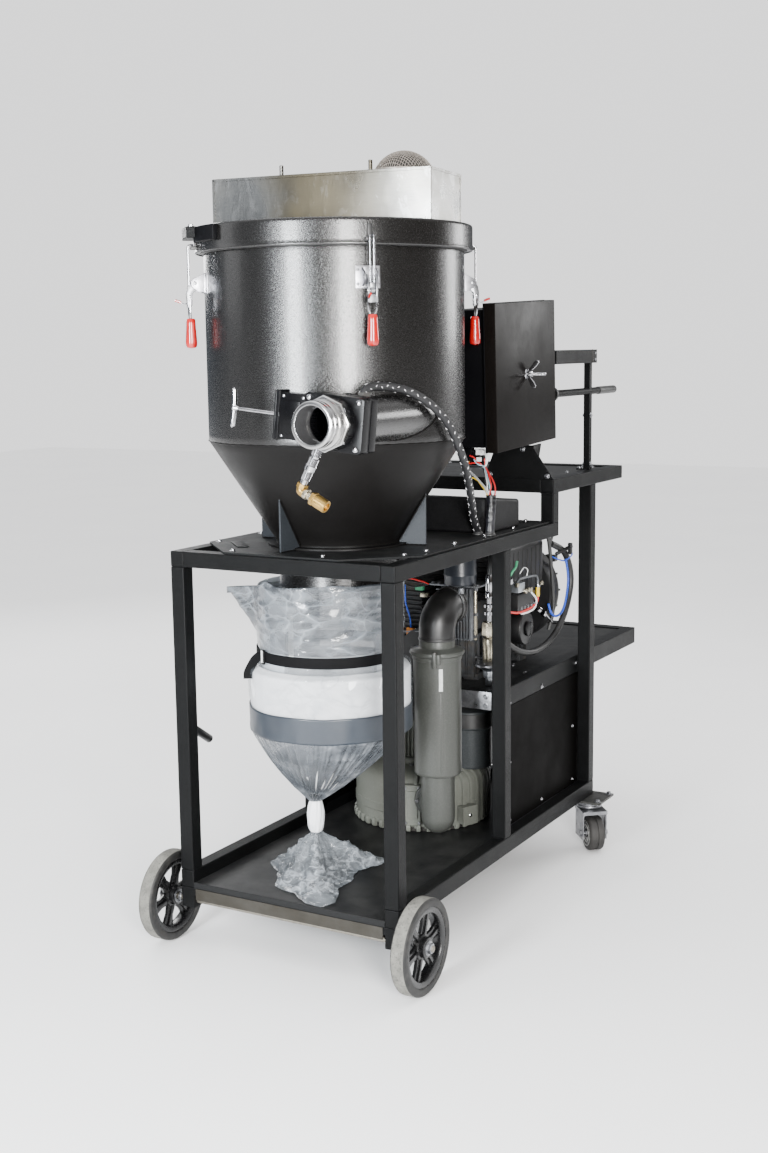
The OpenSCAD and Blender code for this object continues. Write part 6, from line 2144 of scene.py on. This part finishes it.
# ------------------------------------------------------------------ hose and loom
def build_lines():
    hp = [(252, -24, 1371.6), (252, -23.4, 1378), (253.5, -14, 1387), (257, 6, 1391), (262, 36, 1391), (270, 75, 1388), (287, 112, 1379), (303, 144, 1363), (315, 177, 1343), (325, 215, 1314), (329, 254, 1276), (330, 285, 1236), (326, 320, 1198), (308, 372, 1158), (294, 410, 1128), (280, 446, 1100), (268, 478, 1074), (256, 506, 1050), (251, 531, 1025), (249.5, 543.5, 1011), (249.5, 545, 1002.4)]
    path = smooth_path(hp, 6)
    h = tube("braided_hose_v", path, 9.6, "braid", ROOT, 28)
    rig.replaces(h, "braided_hose")
    # tracer threads of the braid standing out as pale flecks
    fl = []
    run, nxt, odd = 0.0, 6.0, False
    s = Vector((0, 1, 0))
    vs, fs = [], []
    for i in range(1, len(path)):
        a, b = path[i - 1], path[i]
        seg = (b - a).length
        t = (b - a).normalized()
        s = (s - t * s.dot(t)).normalized()
        q = t.cross(s)
        while nxt < run + seg:
            p = a + t * (nxt - run)
            for base in (0.35, 0.35 + 2 * math.pi / 3, 0.35 + 4 * math.pi / 3):
                an = base + (0.22 if odd else -0.22)
                d = s * math.cos(an) + q * math.sin(an)
                e = t * math.cos(0.6) + t.cross(d) * math.sin(0.6) * (1 if odd else -1)
                f_ = e.cross(d)
                o = len(vs)
                c = p + d * 9.7
                L, w_, hgt = 3.9, 1.05, 0.8
                for k in range(8):
                    g = math.pi * 2 * k / 8
                    vs.append(W(*(c + e * L * math.cos(g) + f_ * w_ * math.sin(g) - d * 0.35)))
                for k in range(8):
                    g = math.pi * 2 * k / 8
                    vs.append(W(*(c + e * L * 0.6 * math.cos(g) + f_ * w_ * 0.6 * math.sin(g) + d * hgt * 0.8)))
                for k in range(8):
                    fs.append((o + k, o + (k + 1) % 8, o + 8 + (k + 1) % 8, o + 8 + k))
                fs.append(tuple(o + 8 + k for k in range(8)))
            odd = not odd
            nxt += 19
        run += seg
    finish_mesh("hose_flecks", vs, fs, "fleck", ROOT, 50)
    lathe("hose_boot", [(10, 0), (13.5, 0), (14.5, 1), (14.5, 3.4), (12, 5), (10.6, 9), (10, 9)], (249.5, 545, 1001.9), (0, 0, 1), "rubber", ROOT, 32)
    lathe("hose_nut", [(10, 0), (15, 0), (15, 8), (13.4, 9.4), (10, 9.4)], (252, -24, 1370.8), (0, 0, 1), "zincdark", ROOT, 6, smooth=20)

    ps = []
    B = lambda n, lo, hi, m, bev=0.0012: ps.append(boxm(n, lo, hi, m, None, bev, 2))
    # connector blocks on a small bright strip
    B("blk", (165, 630, 1195), (189, 650, 1216), "plastic", 0.002)
    B("blkb", (189, 632, 1197), (202, 650, 1211), "gloss", 0.0015)
    B("blkw", (201, 631, 1197), (220, 650, 1212), "white", 0.0018)
    B("blkc", (168, 633, 1170), (222, 650, 1197), "plastic", 0.003)
    B("rail", (175, 628, 1163), (222, 652, 1168), "zinc", 0.0012)
    B("plug", (172, 624, 1173), (183, 634, 1181), "orange", 0.0016)
    B("plug2", (206, 625, 1181), (218, 634, 1192), "white", 0.0016)
    B("post", (170, 640, 1120), (180, 652, 1164), "catch", 0.001)
    for x in (200.5, 217):
        ps.append(lathe("kn", [(0, 0), (3.4, 0), (3.8, 1), (3.8, 7.6), (3.0, 8.6), (0, 8.8)], (x, 638, 1215), (0, 0, 1), "chrome", None, 16))
    for k, (m, r, pts) in enumerate((
        ("wire_red", 2.0, [(204, 640, 1195), (215, 640, 1194), (223, 640, 1183), (224, 640, 1169), (245, 618, 1153), (268, 594, 1137), (286, 570, 1120), (296, 546, 1103), (291, 545, 1092)]),
        ("wire_red", 2.0, [(186, 628, 1195), (196, 628, 1192), (204, 628, 1184), (211, 630, 1177), (226, 632, 1165), (244, 616, 1152), (260, 594, 1136), (272, 575, 1123), (280, 550, 1106), (285, 545, 1092)]),
        ("white", 2.0, [(226, 640, 1211), (230, 640, 1195), (229, 640, 1177), (225, 633, 1164), (241, 609, 1146), (257, 584, 1129), (269, 560, 1112), (280, 545, 1092)]),
        ("wire_grey", 3.0, [(189, 622, 1154), (215, 604, 1142), (237, 587, 1130), (258, 570, 1119), (272, 553, 1107), (280, 545, 1092)]),
        ("wire_yellow", 1.8, [(201, 601, 1140), (210, 601, 1140), (228, 592, 1133), (245, 576, 1123), (261, 563, 1114), (276, 546, 1102), (280, 545, 1092)]),
        ("wire_black", 2.0, [(219, 638, 1167), (239, 609, 1146), (253, 584, 1129), (269, 570, 1119), (287, 546, 1102), (287, 545, 1090)]),
        ("wire_red", 2.0, [(179, 628, 1174), (191, 627, 1176), (202, 627, 1177), (213, 628, 1177), (219, 630, 1172)]),
        ("teal", 2.0, [(198, 628, 1186), (204, 627, 1178), (213, 628, 1172), (222, 632, 1169), (234, 622, 1157), (252, 598, 1140), (270, 572, 1122), (283, 547, 1100)]),
        ("white", 2.4, [(219, 641, 1206), (224, 641, 1205), (227, 641, 1196), (227, 641, 1182), (226, 641, 1170)]),
    )):
        ps.append(tube("w", smooth_path(pts, 5), r, m, None, 8))
    sv = smooth_path([(286.5, 545, 1104), (287, 544, 1092), (287.5, 542, 1070), (286.5, 540.5, 1040), (285, 540, 1002.6)], 7)
    nsv = len(sv)
    ps.append(tube("slv", sv, 12, "sleeve", None, 22, True, [13.2 - 2.0 * i / (nsv - 1) + 0.5 * math.sin(i * 1.3) for i in range(nsv)]))
    ps.append(lathe("slvfoot", [(11, 0), (15, 0), (16, 1), (16, 3.4), (13, 5), (11.6, 9), (11, 9)], (285, 540, 1001.9), (0, 0, 1), "rubber", None, 28))
    for o in ps:
        o["_b"] = ROOT
    j = join("wiring_loom_v", ps)
    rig.replaces(j, "wiring_loom")


build_bag()
build_blower()
build_engine()
build_filter()
build_lines()



# ------------------------------------------------------------------ stage and light
def stage_and_light():
    sz = 14.0
    me = bpy.data.meshes.new("floor")
    me.from_pydata([(-sz, -sz, 0), (sz, -sz, 0), (sz, sz, 0), (-sz, sz, 0)], [], [(0, 1, 2, 3)])
    fl = _link(bpy.data.objects.new("floor", me))
    m = Mat("floor_pale", (0.93, 0.93, 0.93), 0.75)
    n = m.noise(1.2, 3)
    m.color(m.mix(m.ramp(n, [(0.3, 0), (0.7, 1)]), (0.94, 0.94, 0.94), (0.91, 0.91, 0.915)))
    fl.data.materials.append(m.m)
    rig.stage(fl)
    w = bpy.data.worlds.new("studio")
    bpy.context.scene.world = w
    w.use_nodes = True
    nt = w.node_tree
    bg = nt.nodes["Background"]
    # white behind the object; a dim room with a bright ceiling for everything else
    tc = nt.nodes.new("ShaderNodeTexCoord")
    sp = nt.nodes.new("ShaderNodeSeparateXYZ")
    nt.links.new(tc.outputs["Generated"], sp.inputs[0])

    def mth(op, a, b, clamp=False):
        n = nt.nodes.new("ShaderNodeMath")
        n.operation = op
        n.use_clamp = clamp
        for k, v in enumerate((a, b)):
            if isinstance(v, (int, float)):
                n.inputs[k].default_value = v
            else:
                nt.links.new(v, n.inputs[k])
        return n.outputs[0]

    up = mth("POWER", mth("MAXIMUM", sp.outputs[2], 0.0), 2.0)
    up = mth("MULTIPLY", up, 3.0)
    side = mth("ADD", mth("MULTIPLY", sp.outputs[0], 0.5), 0.5, True)
    cr = nt.nodes.new("ShaderNodeValToRGB")
    cr.color_ramp.elements[0].color = (0.15, 0.17, 0.20, 1)
    cr.color_ramp.elements[1].color = (0.11, 0.092, 0.075, 1)
    nt.links.new(side, cr.inputs[0])
    ad = nt.nodes.new("ShaderNodeMix")
    ad.data_type = "RGBA"
    ad.blend_type = "ADD"
    ad.inputs[0].default_value = 1.0
    nt.links.new(cr.outputs[0], ad.inputs[6])
    nt.links.new(up, ad.inputs[7])
    lp = nt.nodes.new("ShaderNodeLightPath")
    mx = nt.nodes.new("ShaderNodeMix")
    mx.data_type = "RGBA"
    nt.links.new(lp.outputs["Is Camera Ray"], mx.inputs[0])
    nt.links.new(ad.outputs[2], mx.inputs[6])
    mx.inputs[7].default_value = (1.62, 1.62, 1.63, 1)
    nt.links.new(mx.outputs[2], bg.inputs[0])
    bg.inputs[1].default_value = 1.0

    def area(name, loc, target, size, power, col=(1, 1, 1)):
        l = bpy.data.lights.new(name, "AREA")
        l.shape = "RECTANGLE"
        l.size, l.size_y = size
        l.energy = power
        l.color = col
        o = _link(bpy.data.objects.new(name, l))
        o.location = loc
        d = Vector(target) - Vector(loc)
        o.rotation_euler = d.to_track_quat("-Z", "Y").to_euler()
        o.visible_camera = False
        return o

    # two tall soft boxes, one straight ahead of the drum and one to its right
    area("soft_left", (-0.17, -4.42, 1.55), (0, -0.42, 1.5), (0.8, 1.5), 340, (0.93, 0.97, 1.0))
    area("soft_right", (2.72, -3.50, 1.55), (0, -0.42, 1.5), (0.9, 1.5), 340, (1.0, 0.99, 0.97))
    area("fill_left", (-3.8, -2.2, 2.4), (0, -0.3, 1.0), (1.6, 1.6), 14)
    area("side_right", (2.1, 3.5, 1.95), (0.3, 0, 1.7), (1.2, 0.9), 45)
    area("far_side", (-3.6, 2.4, 2.6), (0, 0, 1.0), (1.6, 1.6), 70)


stage_and_light()

new_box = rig.bounds()
json.dump({"cad": [list(map(float, p)) for p in CAD_BOX], "visual": [list(map(float, p)) for p in new_box]}, open("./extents.json", "w"))
